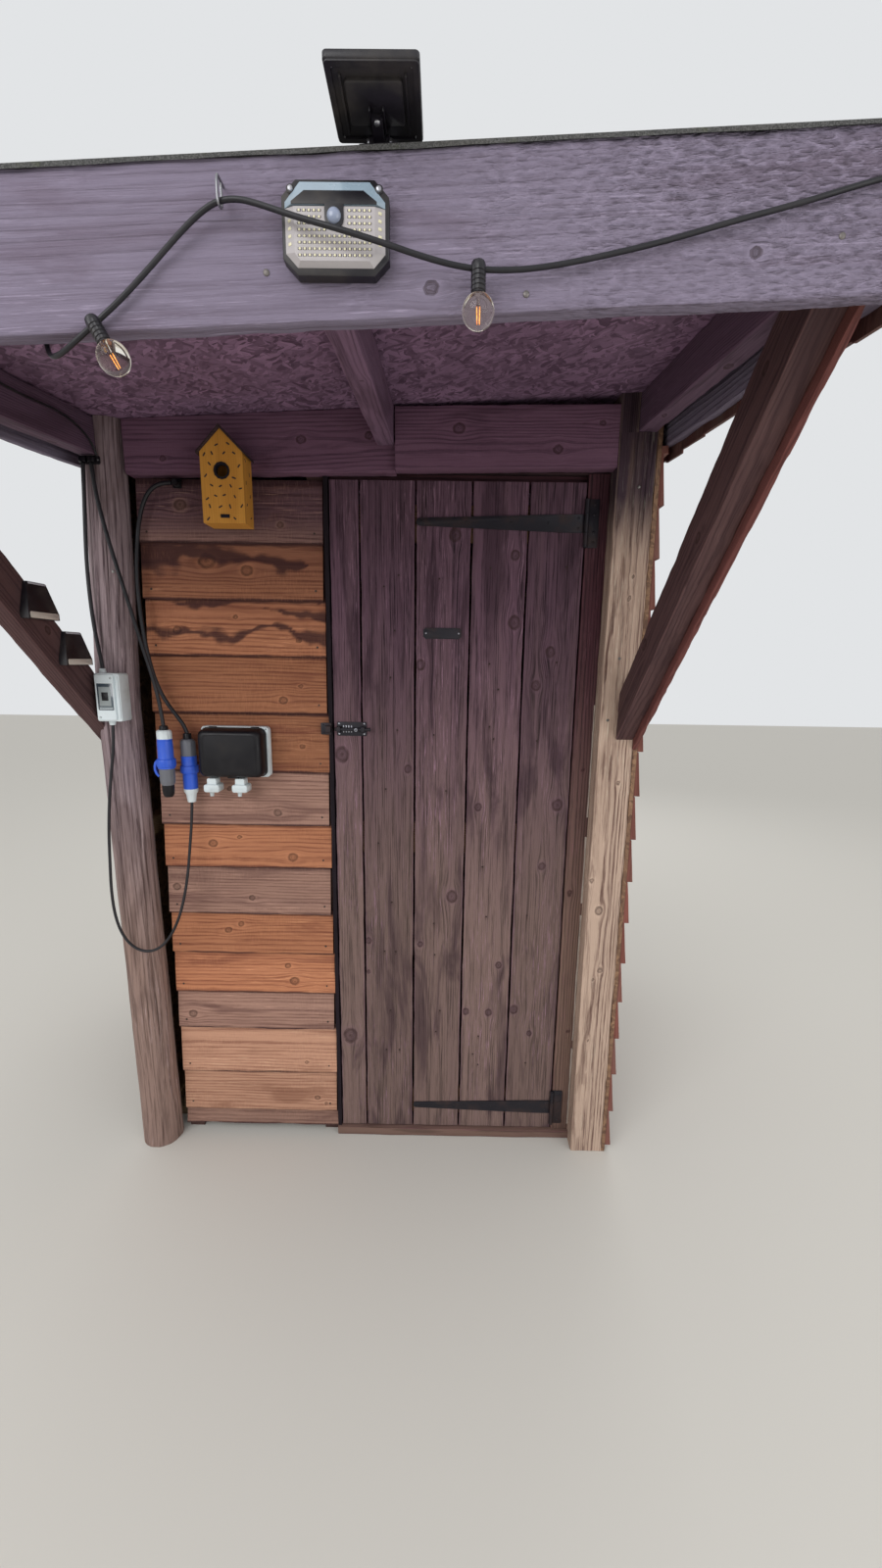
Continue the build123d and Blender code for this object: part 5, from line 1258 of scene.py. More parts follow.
    def braces(self, timbers):
        finish = wood(
            "Brace", tuple(timbers.brace), rgb(52, 34, 38), ring=0.006, contrast=0.5, spread=0.2,
            blotch=(0.5, rgb(60, 42, 46)), worn=0.6, fleck=0.3,
        )
        cedar = wood(
            "Cedar_board", tuple(timbers.brace_board), rgb(72, 40, 40), ring=0.003, contrast=0.5, spread=0.2, worn=0.5,
        )
        turn = radians(42)
        along = np.array((0, -cos(turn), sin(turn)))
        across = np.array((0, sin(turn), cos(turn)))
        for name, node_name, material, (low, high), foot_y, foot_z, depth, drop, sides, front, knots in (
            ("left_brace_timber", "left_brace", finish, (-0.7743, -0.7273), 0.030, 1.261, 0.095, UNDER_BOARDS, 8, X,
             ((0.45, 0.01, 0.009), (0.85, -0.01, 0.007))),
            ("right_brace_timber", "right_brace", finish, (0.6875, 0.7345), -0.0603, 1.340, 0.095, UNDER_RAFTER, 8, -X,
             ((0.30, 0.02, 0.012), (0.62, -0.01, 0.009), (0.9, 0.01, 0.008))),
            ("brace_board_timber", "brace_board", cedar, (0.7348, 0.7468), -0.0603, 1.312, 0.109, UNDER_RAFTER, 3, X,
             ((0.4, 0.0, 0.006),)),
        ):
            pile = Pile()
            corner = np.array(((low + high) / 2, foot_y, foot_z))
            timber(
                pile, corner + across * depth / 2, along, across, depth, high - low, (corner, Y), below_roof(drop),
                front=14, sides=sides, back=6, spacing=0.012, seed=int(foot_z * 1000),
                knots=knots, rough=0.0008, worn=0.003, out=front, ease=0.0025,
            )
            pile.piece(name, material, "brace_timber", node_name)


class OUTHOUSE_OT_inside_timber(bpy.types.Operator):
    """Finish the plain framing, the wall boards inside, the floor and the underside of the roof"""

    bl_idname = "outhouse.inside_timber"
    bl_label = "Inside timber"

    def execute(self, context):
        timbers = context.scene.outhouse_timber
        early, late = tuple(timbers.inside), rgb(122, 90, 64)
        for label, turn, name in (
            ("Upright_framing", (0, 0, 1), "back_posts"), ("Level_framing", (1, 0, 0), "wall_rails")
        ):
            finish_nodes(wood(label, early, late, own_grain=False, turn=turn, sawn=0.3, contrast=0.5), name)
        # The lintel and the front studs are darker copies of the framing wood: painted shade under the header
        finish_nodes(wood("Painted_shade_lintel", rgb(70, 50, 54), rgb(44, 30, 36), own_grain=False), "lintel")
        finish_nodes(
            wood("Painted_shade_stud", rgb(84, 62, 58), rgb(52, 36, 38), own_grain=False, turn=(0, 0, 1)), "front_studs"
        )
        finish_nodes(strand_board("Wall_board", rgb(150, 116, 88), rgb(98, 70, 54)), "side_walls", "back_wall")
        finish_nodes(strand_board("Roof_board", tuple(timbers.board), rgb(86, 62, 84), 0.001), "roof_deck")
        planks = wood(
            "Floor_board", rgb(158, 136, 108), rgb(108, 84, 62), own_grain=False,
            blotch=(0.4, rgb(104, 86, 70)), weather_and_shade=(rgb(132, 124, 112), 0.4, None),
        )
        finish_nodes(planks, "floor")
        return {"FINISHED"}


# ---- Shingles and felt ----


class OUTHOUSE_OT_shingles(bpy.types.Operator):
    """Hang the shingles on the sides and the back, course over course"""

    bl_idname = "outhouse.shingles"
    bl_label = "Shingles"

    def execute(self, context):
        cladding = context.scene.outhouse_cladding
        finish = wood(
            "Shingle", tuple(cladding.shingle), rgb(74, 40, 36), ring=0.003, contrast=0.5, fibre=0.5, spread=0.4,
            relief=0.0014, weather_and_shade=(rgb(140, 122, 112), 0.45, None), worn=0.5,
        )
        for name, node_name, walls in (
            ("side_wall_shingles", "side_shingles", (
                (np.array((0.7496, 0, 0)), Y, X, (-0.0600, 1.1115), 0.124, 11),
                (np.array((-0.7566, 0, 0)), Y, -X, (0.0403, 1.1115), 0.097, 12),
            )),
            ("back_wall_shingles", "back_shingles", ((np.array((0, 1.1116, 0)), X, Y, (-0.7743, 0.7676), 0.092, 13),)),
        ):
            pile = Pile()
            for origin, sideways, out, ends, drop, seed in walls:
                self.cover(pile, cladding, origin, sideways, out, ends, below_roof(drop), seed)
            pile.piece(name, finish, "shingle", node_name)
        return {"FINISHED"}

    def cover(self, pile, cladding, origin, sideways, out, ends, top, seed):
        """Courses of shingles of random widths over one wall, between its two ends and below a plane."""
        draw = np.random.default_rng(seed)
        butt, thin, lowest = 0.0178, 0.0048, 0.020
        for course in range(17):
            lower = lowest + course * cladding.exposure
            here = ends[0]
            while here < ends[1] - 0.001:
                there = here + draw.uniform(cladding.narrow, cladding.broad)
                there = ends[1] if there > ends[1] - 0.06 else there
                middle = (here + there) / 2
                spot = origin + sideways * middle
                roof = top[0][2] + RISE_RIGHT * spot[0] + RISE_BACK * spot[1]
                foot = lower + draw.uniform(0.0, 0.007)
                head = lower + cladding.exposure + 0.004
                tone = draw.uniform(0.15, 0.85)
                if roof - foot > 0.012:
                    timber(
                        pile, spot + out * butt / 2, Z, sideways, there - here - draw.uniform(0.0015, 0.004), butt,
                        foot, head if head < roof - 0.006 else top, front=3, back=1, spacing=0.045,
                        seed=seed * 1000 + course * 40 + int(here * 37) % 40, tone=tone, out=out,
                        ease=0.0012, lean=(butt - thin) / cladding.exposure,
                    )
                here = there


class OUTHOUSE_OT_felt(bpy.types.Operator):
    """Lay the roof felt in lapped strips, turned down at the edges and nailed"""

    bl_idname = "outhouse.felt"
    bl_label = "Roof felt"

    def execute(self, context):
        cladding = context.scene.outhouse_cladding
        felt = tuple(cladding.felt)
        material, tree, link = new_finish("Roof_felt", felt, 0.9)
        place = object_place(tree)
        grit = place.noise(900.0, 2.0)
        tint = mixed(grit.span(0.4, 0.65), lighter(felt, 0.55), lighter(felt, 1.7))
        tint = mixed(place.noise(5.0, 4.0, 0.6).span(0.4, 0.7) * 0.4, tint, rgb(96, 90, 80))
        tint = mixed(place.noise(26.0, 5.0, 0.65).span(0.58, 0.72) * 0.5, tint, rgb(78, 84, 52))
        link(grit, 0.0008, Base_Color=tint)
        low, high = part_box("roof_felt")
        pile, nails = Pile(), Pile()
        lip = 0.003 / (high.x - low.x)
        across = np.concatenate(((0, lip), np.linspace(0.02, 0.98, 50), (1 - lip, 1)))
        for number, (front, back, lift) in enumerate(((0.0, 0.37, 0.0), (0.345, 0.70, 0.0010), (0.675, 1.0, 0.0020))):
            self.strip(pile, low, high, front, back, lift, number, across)
            y = low.y + (high.y - low.y) * front + 0.018
            for x in np.arange(low.x + 0.05, high.x - 0.03, 0.09) if number else ():
                screw_head(nails, np.multiply(1000, (x, y, roof_at(x, y) + 0.0118 + lift)), ROOF_UP, 4)
        for x in np.arange(low.x + 0.06, high.x - 0.03, 0.12):
            screw_head(nails, np.multiply(1000, (x, high.y - 0.0016, roof_at(x, high.y) + 0.0073)), Y, 3.4)
        pile.piece("felt_strips", material, "roof_felt", "roof_felt")
        nails.piece("felt_nails", moulded("Clout_nail", rgb(70, 70, 70), 0.5, Metallic=0.6), "bright_steel")
        return {"FINISHED"}

    def strip(self, pile, low, high, front, back, lift, number, across):
        """One strip: a sheet over the sloping roof plane whose surface ripples, with an underside a felt's
        thickness below it, and at the roof's edges a turned-down lip."""
        x = low.x + (high.x - low.x) * across
        y = low.y + (high.y - low.y) * np.linspace(front, back, 22)
        y[1] = y[0] + 0.003 if number == 0 else y[1]
        y[-2] = y[-1] - 0.003 if back == 1.0 else y[-2]
        x, y = np.meshgrid(x, y)
        top = roof_at(x, y) + 0.0116 + lift + ripple(x, y, 60 + number, 0.22, 0.0003)
        edge = np.minimum(x - low.x, high.x - x)
        ends = np.minimum(y - low.y, high.y - y)
        top = np.where(np.minimum(edge, ends) < 1e-6, roof_at(x, y) + 0.0132, top)
        under = top - 0.0011
        hang = np.where(y < low.y + 1e-6, 0.0040, 0.0112) + ripple(x, y, 70, 0.1, 0.0010)
        lip = np.where(np.minimum(edge, ends) < 1e-6, hang, 0.0)
        above = np.stack((x, y, top), axis=-1)
        below = np.stack((x, y, under - lip), axis=-1)
        pile.grid(np.concatenate((above, below[:, ::-1]), axis=1))


# ---- Fittings, in millimetres ----


class OUTHOUSE_OT_ironwork(bpy.types.Operator):
    """Hang the tee hinges and fit the bolt, its keeper and the sign plate"""

    bl_idname = "outhouse.ironwork"
    bl_label = "Ironwork"

    def execute(self, context):
        colour = tuple(context.scene.outhouse_fittings.iron)
        rust = rgb(92, 66, 56)
        self.iron = moulded(
            "Black_iron", colour, 0.5, speck=0.3, scale=420.0, relief=0.00025, dust=rust, dusty=0.35, Metallic=0.4
        )
        self.bright = moulded("Worn_steel", rgb(172, 172, 180), 0.35, Metallic=0.85)
        self.hinges()
        self.bolt()
        self.sign()
        return {"FINISHED"}

    def hinges(self):
        straps, leaves, strap_heads, leaf_heads = Pile(), Pile(), Pile(), Pile()
        tip = np.linspace(pi / 2, 3 * pi / 2, 9)
        strap = [(0, -23), (0, 23), (-60, 23), *zip(-445 + 10 * np.cos(tip), 10 * np.sin(tip)), (-60, -23)]
        barrel = ((5, -22.8), (6, -22), (6, -3), (5.5, -2.4), (6, -1.8), (6, 22), (5, 22.8))
        for z in (112, 1912):
            foot = np.array((581.5, 0, z))
            plate(straps, foot, X, Z, strap, 0.3, 3.3, 0.7)
            turned(straps, foot - 6.5 * Y, Z, barrel)
            plate(leaves, foot + 17 * X, X, Z, rounded(34, 122, 3), 0.3, 3.3, 0.7)
            for side in (-1, 1):
                end = ((5.2, 23.4), (6, 24.2), (6, 60), (4.6, 61), (3.4, 61.2), (3, 62.5), (1, 63.2))
                turned(leaves, foot - 6.5 * Y, side * Z, end)
            for x, over in ((-20, 13), (-20, -13), (-100, 0), (-200, 0), (-320, 0), (-440, 0)):
                screw_head(strap_heads, foot + (x, -3.3, over), -Y, 3.6)
            for over in (-48, -22, 22, 48):
                screw_head(leaf_heads, foot + (21, -3.3, over), -Y, 4.2)
        straps.piece("hinge_strap_iron", self.iron, "black_iron", "hinge_straps", body="door")
        leaves.piece("hinge_leaf_iron", self.iron, "black_iron", "hinge_leaves")
        strap_heads.piece("strap_screws", self.iron, "black_iron", body="door")
        leaf_heads.piece("leaf_screws", self.iron, "black_iron")

    def bolt(self):
        case, bar, rings, keeper, heads, screws = (Pile() for _ in range(6))
        z = 1352
        plate(case, (-55.5, 0, z), X, Z, rounded(85, 40, 3), 0.3, 2.3, 0.6)
        loop = rounded(19.7, 17, 4) + (1.85, 0)
        for x in (-91, -22):
            holed(case, (x, -14, z), Y, Z, loop, 5.6, -5, 5)
        for x in (-91.5, -19.5):
            for over in (-14.5, 14.5):
                screw_head(heads, (x, -2.3, z + over), -Y, 3)
        turned(bar, (-103, -14, z), X, ((4, 0), (5, 1.2), (5, 102), (4.2, 103)))
        turned(bar, (-40, -14, z), -Y, ((4, 0), (3.6, 10), (4.6, 12.5), (4.6, 15.5), (3, 16.8)), 18)
        for x in (-79, -71.5, -64, -56.5):
            plate(heads, (x, 0, z), X, Z, rounded(3, 21, 1.2, 2), 2, 4, 0.4)
        turned(rings, (-40, -30.5, z), -Y, ((3, -0.6), (4.5, -0.4), (4.4, 0.3), (2.8, 0.5)), 18)
        turned(bar, (-40, -30.5, z), -Y, ((2.7, 0.3), (2.4, 0.6)), 12)
        plate(keeper, (-128.5, 0, z), X, Z, rounded(31, 34, 3), 4.6, 6.6, 0.6)
        holed(keeper, (-121, -14, z), Y, Z, rounded(16.4, 19, 3) - (0.8, 0), 6, -7, 7)
        for over in (-11.5, 11.5):
            screw_head(screws, (-137, -6.6, z + over), -Y, 3)
        case.piece("bolt_case_iron", self.iron, "black_iron", "bolt_case", body="door")
        bar.piece("bolt_bar_iron", self.iron, "black_iron", "bolt_bar", body="bolt")
        rings.piece("bolt_bright_rings", self.bright, "bright_steel", body="bolt")
        keeper.piece("bolt_keeper_iron", self.iron, "black_iron", "bolt_keeper")
        heads.piece("bolt_case_screws", self.bright, "bright_steel", body="door")
        screws.piece("bolt_keeper_screws", self.iron, "black_iron")

    def sign(self):
        """A bare plate whose corners are quarter circles cut in, with a raised rim and a screw at each end."""
        turn = np.linspace(3 * pi / 2, pi, 6)
        outline = np.concatenate([
            np.stack((x * 53 + 5 * np.cos(turn + k * pi / 2), y * 15 + 5 * np.sin(turn + k * pi / 2)), axis=-1)
            for k, (x, y) in enumerate(((1, 1), (-1, 1), (-1, -1), (1, -1)))
        ])
        sign, heads = Pile(), Pile()
        centre = np.array((201, 0, 1622))
        plate(sign, centre, X, Z, outline, 0.3, 2.4, 0.5)
        rim(sign, centre, X, Z, outline * 0.985, 1.6, 2, 3.3)
        for x in (-45.5, 45.5):
            screw_head(heads, centre + (x, -2.4, 0), -Y, 2.4)
        sign.piece("sign_plate_bare", self.iron, "black_iron", "sign_plate", body="door")
        heads.piece("sign_screws", self.bright, "bright_steel", body="door")


class OUTHOUSE_OT_nest_box(bpy.types.Operator):
    """Paint the nest box and give it its roof, hole plate, label plate and dabs of dark paint"""

    bl_idname = "outhouse.nest_box"
    bl_label = "Nest box"

    def execute(self, context):
        yellow = tuple(context.scene.outhouse_fittings.yellow)
        paint = wood(
            "Yellow_paint", yellow, tuple(v * 0.72 for v in yellow), ring=0.006, contrast=0.25, fibre=0.3,
            own_grain=False, turn=(0, 0, 1), roughness=0.5, relief=0.0003, blotch=(0.25, rgb(172, 106, 36)),
        )
        finish_nodes(paint, "bird_box")
        dark = moulded("Dark_brown_paint", rgb(52, 38, 40), 0.6)
        centre, front = -352, -106.3
        marks, ring = Pile(), Pile()
        draw = np.random.default_rng(9)
        for row in range(8):
            for column in range(4):
                x = (column - 1.5 + 0.5 * (row % 2) - 0.25) * 24.5 + draw.uniform(-4, 4)
                z = 1892 + row * 24.5 + draw.uniform(-5, 5)
                on_board = abs(x) < 48 - max(0, z - 2043) and z < 2083
                if on_board and np.hypot(x, z - 2002) > 26 and not (abs(x) < 18 and z < 1906):
                    tilt = draw.uniform(0.2, 1.3) * (-1) ** (row + column)
                    right = cos(tilt) * X + sin(tilt) * Z
                    up = np.cross(right, Y) * (-1 if right[0] < 0 else 1)
                    drop = rounded(draw.uniform(8.5, 11.5), 3.6, 1.7, 2)
                    plate(marks, (centre + x, front, z), right, up, drop, 0, 0.4, 0.2)
        for row in range(6):
            z, y = 1902 + row * 26, -72 + (-1) ** row * 14
            tilt = 0.5 + 0.35 * row
            right = cos(tilt) * Y + sin(tilt) * Z
            plate(marks, (-299, y, z), right, np.cross(X, right), rounded(10, 3.4, 1.6, 2), 0, 0.4, 0.2)
        holed(ring, (centre, front, 2002), X, Z, circle(20.5, 12), 15, -0.4, 1.6)
        # A dark sleeve down the hole: painted shade inside the box
        holed(ring, (centre, front, 2002), X, Z, circle(15.6, 12), 14.7, -11.2, 0)
        plate(ring, (centre + 3, front, 1896.5), X, Z, rounded(23, 8.5, 1.2), 0, 1.2, 0.4)
        rim(ring, (centre + 3, front, 1896.5), X, Z, rounded(22.5, 8, 1.2), 0.8, 1, 1.6)
        marks.piece("nest_box_dabs", dark, "dark_board")
        ring.piece("nest_box_hole_plate", moulded("Hole_plate", rgb(40, 38, 46), 0.45, Metallic=0.5), "black_iron")
        roof = Pile()
        for eave in (centre - 60, centre + 60):
            outline = ((centre, 2098.3), (eave, 2038.3), (eave, 2044), (centre, 2106))
            plate(roof, (0, -38.3, 0), X, Z, outline, 0, 76)
        stain = wood("Nest_box_roof", rgb(66, 50, 52), rgb(44, 32, 36), own_grain=False, turn=(0, 1, 0))
        roof.piece("nest_box_roof_boards", stain, "dark_board", "bird_box_roof")
        return {"FINISHED"}


class OUTHOUSE_OT_lights(bpy.types.Operator):
    """Fit the security light, the solar panel with its bracket and the two wedge lights"""

    bl_idname = "outhouse.lights"
    bl_label = "Lights and solar panel"

    def execute(self, context):
        colour = tuple(context.scene.outhouse_fittings.plastic)
        self.black = moulded("Black_plastic", colour, 0.42, speck=0.1, scale=700.0, relief=0.0001, dusty=0.2)
        self.steel = moulded("Bright_screw", rgb(176, 176, 182), 0.3, Metallic=0.9)
        self.glass = moulded(
            "Solar_glass", rgb(30, 34, 58), 0.15, speck=0.05, dusty=0.12, relief=0.00003, Coat_Weight=1.0,
            Coat_Roughness=0.06,
        )
        self.security_light()
        self.solar_panel()
        self.wedge_lights()
        return {"FINISHED"}

    def security_light(self):
        """An octagonal housing, a raised body with pale bevels above, and below it a glossy board of lamp chips."""
        housing, bevel, band, board, chips, dark, dome, heads = (Pile() for _ in range(8))
        at = np.array((82, -904, 2019))
        shell = ((60, -30), (60, 30), (44, 46), (-44, 46), (-60, 30), (-60, -30), (-44, -46), (44, -46))
        low = ((56, 17.5), (56, 23.5), (39, 42.7), (-39, 42.7), (-56, 23.5), (-56, 17.5))
        top = ((47.5, 17.5), (47.5, 20), (33, 30.2), (-33, 30.2), (-47.5, 20), (-47.5, 17.5))
        loft(housing, at, X, Z, shell, ((0.98, 0.98, 0.3), (1, 1, 2), (1, 1, 15), (0.975, 0.97, 16.3)))
        skin(bevel, at, X, Z, (at_depth(low, 16), at_depth(low, 16.8), at_depth(top, 23.8)))
        plate(band, at, X, Z, top, 23.6, 24.3, 0.4)
        wide = ((56, 17), (-56, 17), (-56, -26), (-43, -39.5), (43, -39.5), (56, -26))
        face = ((45, 16.5), (-45, 16.5), (-45, -28), (-39, -35.5), (39, -35.5), (45, -28))
        skin(board, at, X, Z, (at_depth(wide, 16), at_depth(wide, 16.8), at_depth(face, 22.5)))
        tab = [(10.5, 18), (-10.5, 18), *((10.5 * cos(t), 4.5 + 10.5 * sin(t)) for t in np.linspace(pi, 2 * pi, 9))]
        plate(band, at, X, Z, tab, 22, 24.6, 0.5)
        turn = np.linspace(0, pi / 2, 7)
        bulb = np.stack((7.8 * np.cos(turn) + 0.01, 24.4 + 5.6 * np.sin(turn)), axis=-1)
        turned(dome, at + 6.5 * Z, -Y, bulb, 24)
        for row in range(8):
            for column in range(15):
                x, z = (column - 7) * 5.6, 12.5 - row * 6.1
                if np.hypot(x, z - 4.5) < 13.5 or (abs(x) < 12.5 and z > 4.5):
                    continue
                plate(dark, at + (x, 0, z), X, Z, rounded(4.6, 2.6, 0.4, 1), 22.4, 22.7, 0.1)
                plate(chips, at + (x, 0, z), X, Z, rounded(2.6, 2.4, 0.6, 1), 22.4, 23.1, 0.3)
        for side in (-1, 1):
            out = np.array((side * 5.7, -10.5, 0)) / np.hypot(5.7, 10.5)
            right = np.cross(Z, out)
            for row in range(5):
                spot = at + (side * 50.5, -19.6, 11.5 - row * 7.5)
                plate(chips, spot, right, Z, rounded(4, 3, 0.6, 1), -0.2, 0.6, 0.3)
            turned(housing, at + (side * 49.2, -15, 36.2), -Y, ((4.6, 0), (4.6, 2.2), (4, 2.6)), 18)
            screw_head(heads, at + (side * 49.2, -17.6, 36.2), -Y, 3.2)
        cream = moulded(
            "Lamp_board", rgb(176, 170, 172), 0.35, speck=0.08, relief=0.00004, Coat_Weight=0.8, Coat_Roughness=0.1
        )
        silver = moulded("Silver_bevel", rgb(150, 170, 186), 0.25, speck=0.05, relief=0.00004, Coat_Weight=0.6)
        housing.piece("security_light_housing", self.black, "black_plastic", "security_light")
        bevel.piece("security_light_bevel", silver, "grey_plastic", sharp=20)
        band.piece("security_light_band", self.black, "black_plastic")
        board.piece("security_light_board", cream, "grey_plastic", sharp=20)
        chips.piece("lamp_chips", moulded("Lamp_chip", rgb(232, 226, 190), 0.3), "grey_plastic")
        dark.piece("lamp_chip_contacts", moulded("Chip_contact", rgb(86, 80, 92), 0.5), "black_plastic")
        dome.piece("movement_lens", moulded("Milky_lens", rgb(146, 156, 180), 0.3, Coat_Weight=0.5), "grey_plastic")
        heads.piece("security_light_screws", self.steel, "bright_steel")

    def solar_panel(self):
        """A thin tray with raised border, cells of glass on top, and ribs, arm and hinge eye below."""
        tray, cells, fixed, heads, pins = (Pile() for _ in range(5))
        at = np.array((129, -923, 0))
        loft(
            tray, at, X, Y, rounded(98, 98, 4),
            ((0.985, 0.985, 2132), (1, 1, 2133), (1, 1, 2138.5), (0.99, 0.99, 2139.4)),
        )
        rim(tray, at, X, Y, rounded(96, 96, 4), 6, 2130.2, 2132.5)
        for row in range(6):
            for column in range(6):
                spot = at + ((column - 2.5) * 15.3, (row - 2.5) * 15.3, 0)
                plate(cells, spot, X, Y, rounded(14.8, 14.8, 1.5, 1), 2139.2, 2139.9, 0.2)
        loft(tray, (129, -926, 0), X, Y, rounded(60, 52, 3), ((0.96, 0.95, 2128), (1, 1, 2128.8), (1, 1, 2132.2)))
        for x in (-34, 34):
            loft(
                tray, (129 + x, -922, 0), X, Y, rounded(2.2, 70, 1, 2),
                ((0.7, 0.99, 2128.5), (1, 1, 2129.2), (1, 1, 2132.2)),
            )
        for x in (-7.5, 7.5):
            loft(
                tray, (129 + x, -908, 0), X, Y, rounded(2, 34, 0.8, 2), ((0.7, 0.97, 2124), (1, 1, 2125), (1, 1, 2129))
            )
        turn = np.linspace(-2.2, 1.2, 14)
        eye = np.stack((-886 + 7 * np.cos(turn), 2122 + 7 * np.sin(turn)), axis=-1)
        arm = np.concatenate((((-916, 2130.5), (-916, 2122.5), (-902, 2118)), eye, ((-892, 2130.5),)))
        plate(tray, (123, 0, 0), Y, Z, arm, 0, 12, 0.6)
        screw_head(heads, (129, -913, 2121.5), (0, -0.25, -1), 3.4)
        for x, y in ((-41, -41), (41, -41), (-41, 41), (41, 41)):
            screw_head(heads, at + (x, y, 2132), -Z, 1.6)
        for side in (-1, 1):
            turned(pins, (129 + side * 11.4, -886, 2122), side * X, ((5.2, 0), (5.2, 2.2), (4, 3), (1.2, 3.2)), 18)
        for x, y in ((-14, 18), (14, 18)):
            place = np.array((129 + x, -886 + y))
            screw_head(fixed, (*place, roof_at(*place / 1000) * 1000 + 20.3), ROOF_UP, 3.6)
        tray.piece("solar_panel_tray", self.black, "black_plastic", "solar_panel", body="panel")
        cells.piece("solar_cells", self.glass, "solar_glass", body="panel")
        heads.piece("solar_panel_screws", self.steel, "bright_steel", body="panel")
        pins.piece("bracket_pin_heads", self.steel, "bright_steel")
        fixed.piece("bracket_foot_screws", self.steel, "bright_steel")
        finish_nodes(self.black, "panel_bracket")

    def wedge_lights(self):
        """Two housings that widen and deepen downwards, a frosted strip low on each face and a solar strip on top."""
        bodies, lenses, strips = Pile(), Pile(), Pile()
        flat = np.array(((-53, 0), (53, 0), (53, 14), (32, 80), (-32, 80), (-53, 14)))
        depth = np.array((20.5, 20.5, 20.5, 9.5, 9.5, 20.5))
        middle = np.array((0, 34))
        for y, z in ((-302, 1627), (-187, 1524)):
            at = np.array((-727, y, z))
            skin(bodies, at, Y, Z, [
                at_depth(middle + (flat - middle) * share, depth * deep + more)
                for share, deep, more in ((0.985, 0, 0), (1, 0, 0.8), (1, 1, -1.2), (0.992, 1, -0.3), (0.97, 1, 0))
            ])
            loft(lenses, at + (19.5, 0, 8), Y, Z, rounded(96, 14, 3), ((1, 1, 0), (1, 1, 1.9), (0.985, 0.88, 2.5)))
            loft(strips, at + (8, 0, 77.5), Y, Z, rounded(58, 4, 1, 2), ((1, 1, 0), (1, 1, 2.2), (0.98, 0.8, 2.6)))
            plate(strips, at + (4.8, 0, 79.8), X, Y, rounded(8, 60, 1, 2), 0, 1, 0.3)
        bodies.piece("wedge_light_housings", self.black, "black_plastic", "wedge_lights")
        lens = moulded("Frosted_lens", rgb(204, 196, 186), 0.35, speck=0.06, Coat_Weight=0.4)
        lenses.piece("wedge_light_lenses", lens, "grey_plastic")
        strips.piece(
            "wedge_light_strips", moulded("Pale_strip", rgb(186, 190, 200), 0.2, Coat_Weight=0.8), "solar_glass"
        )


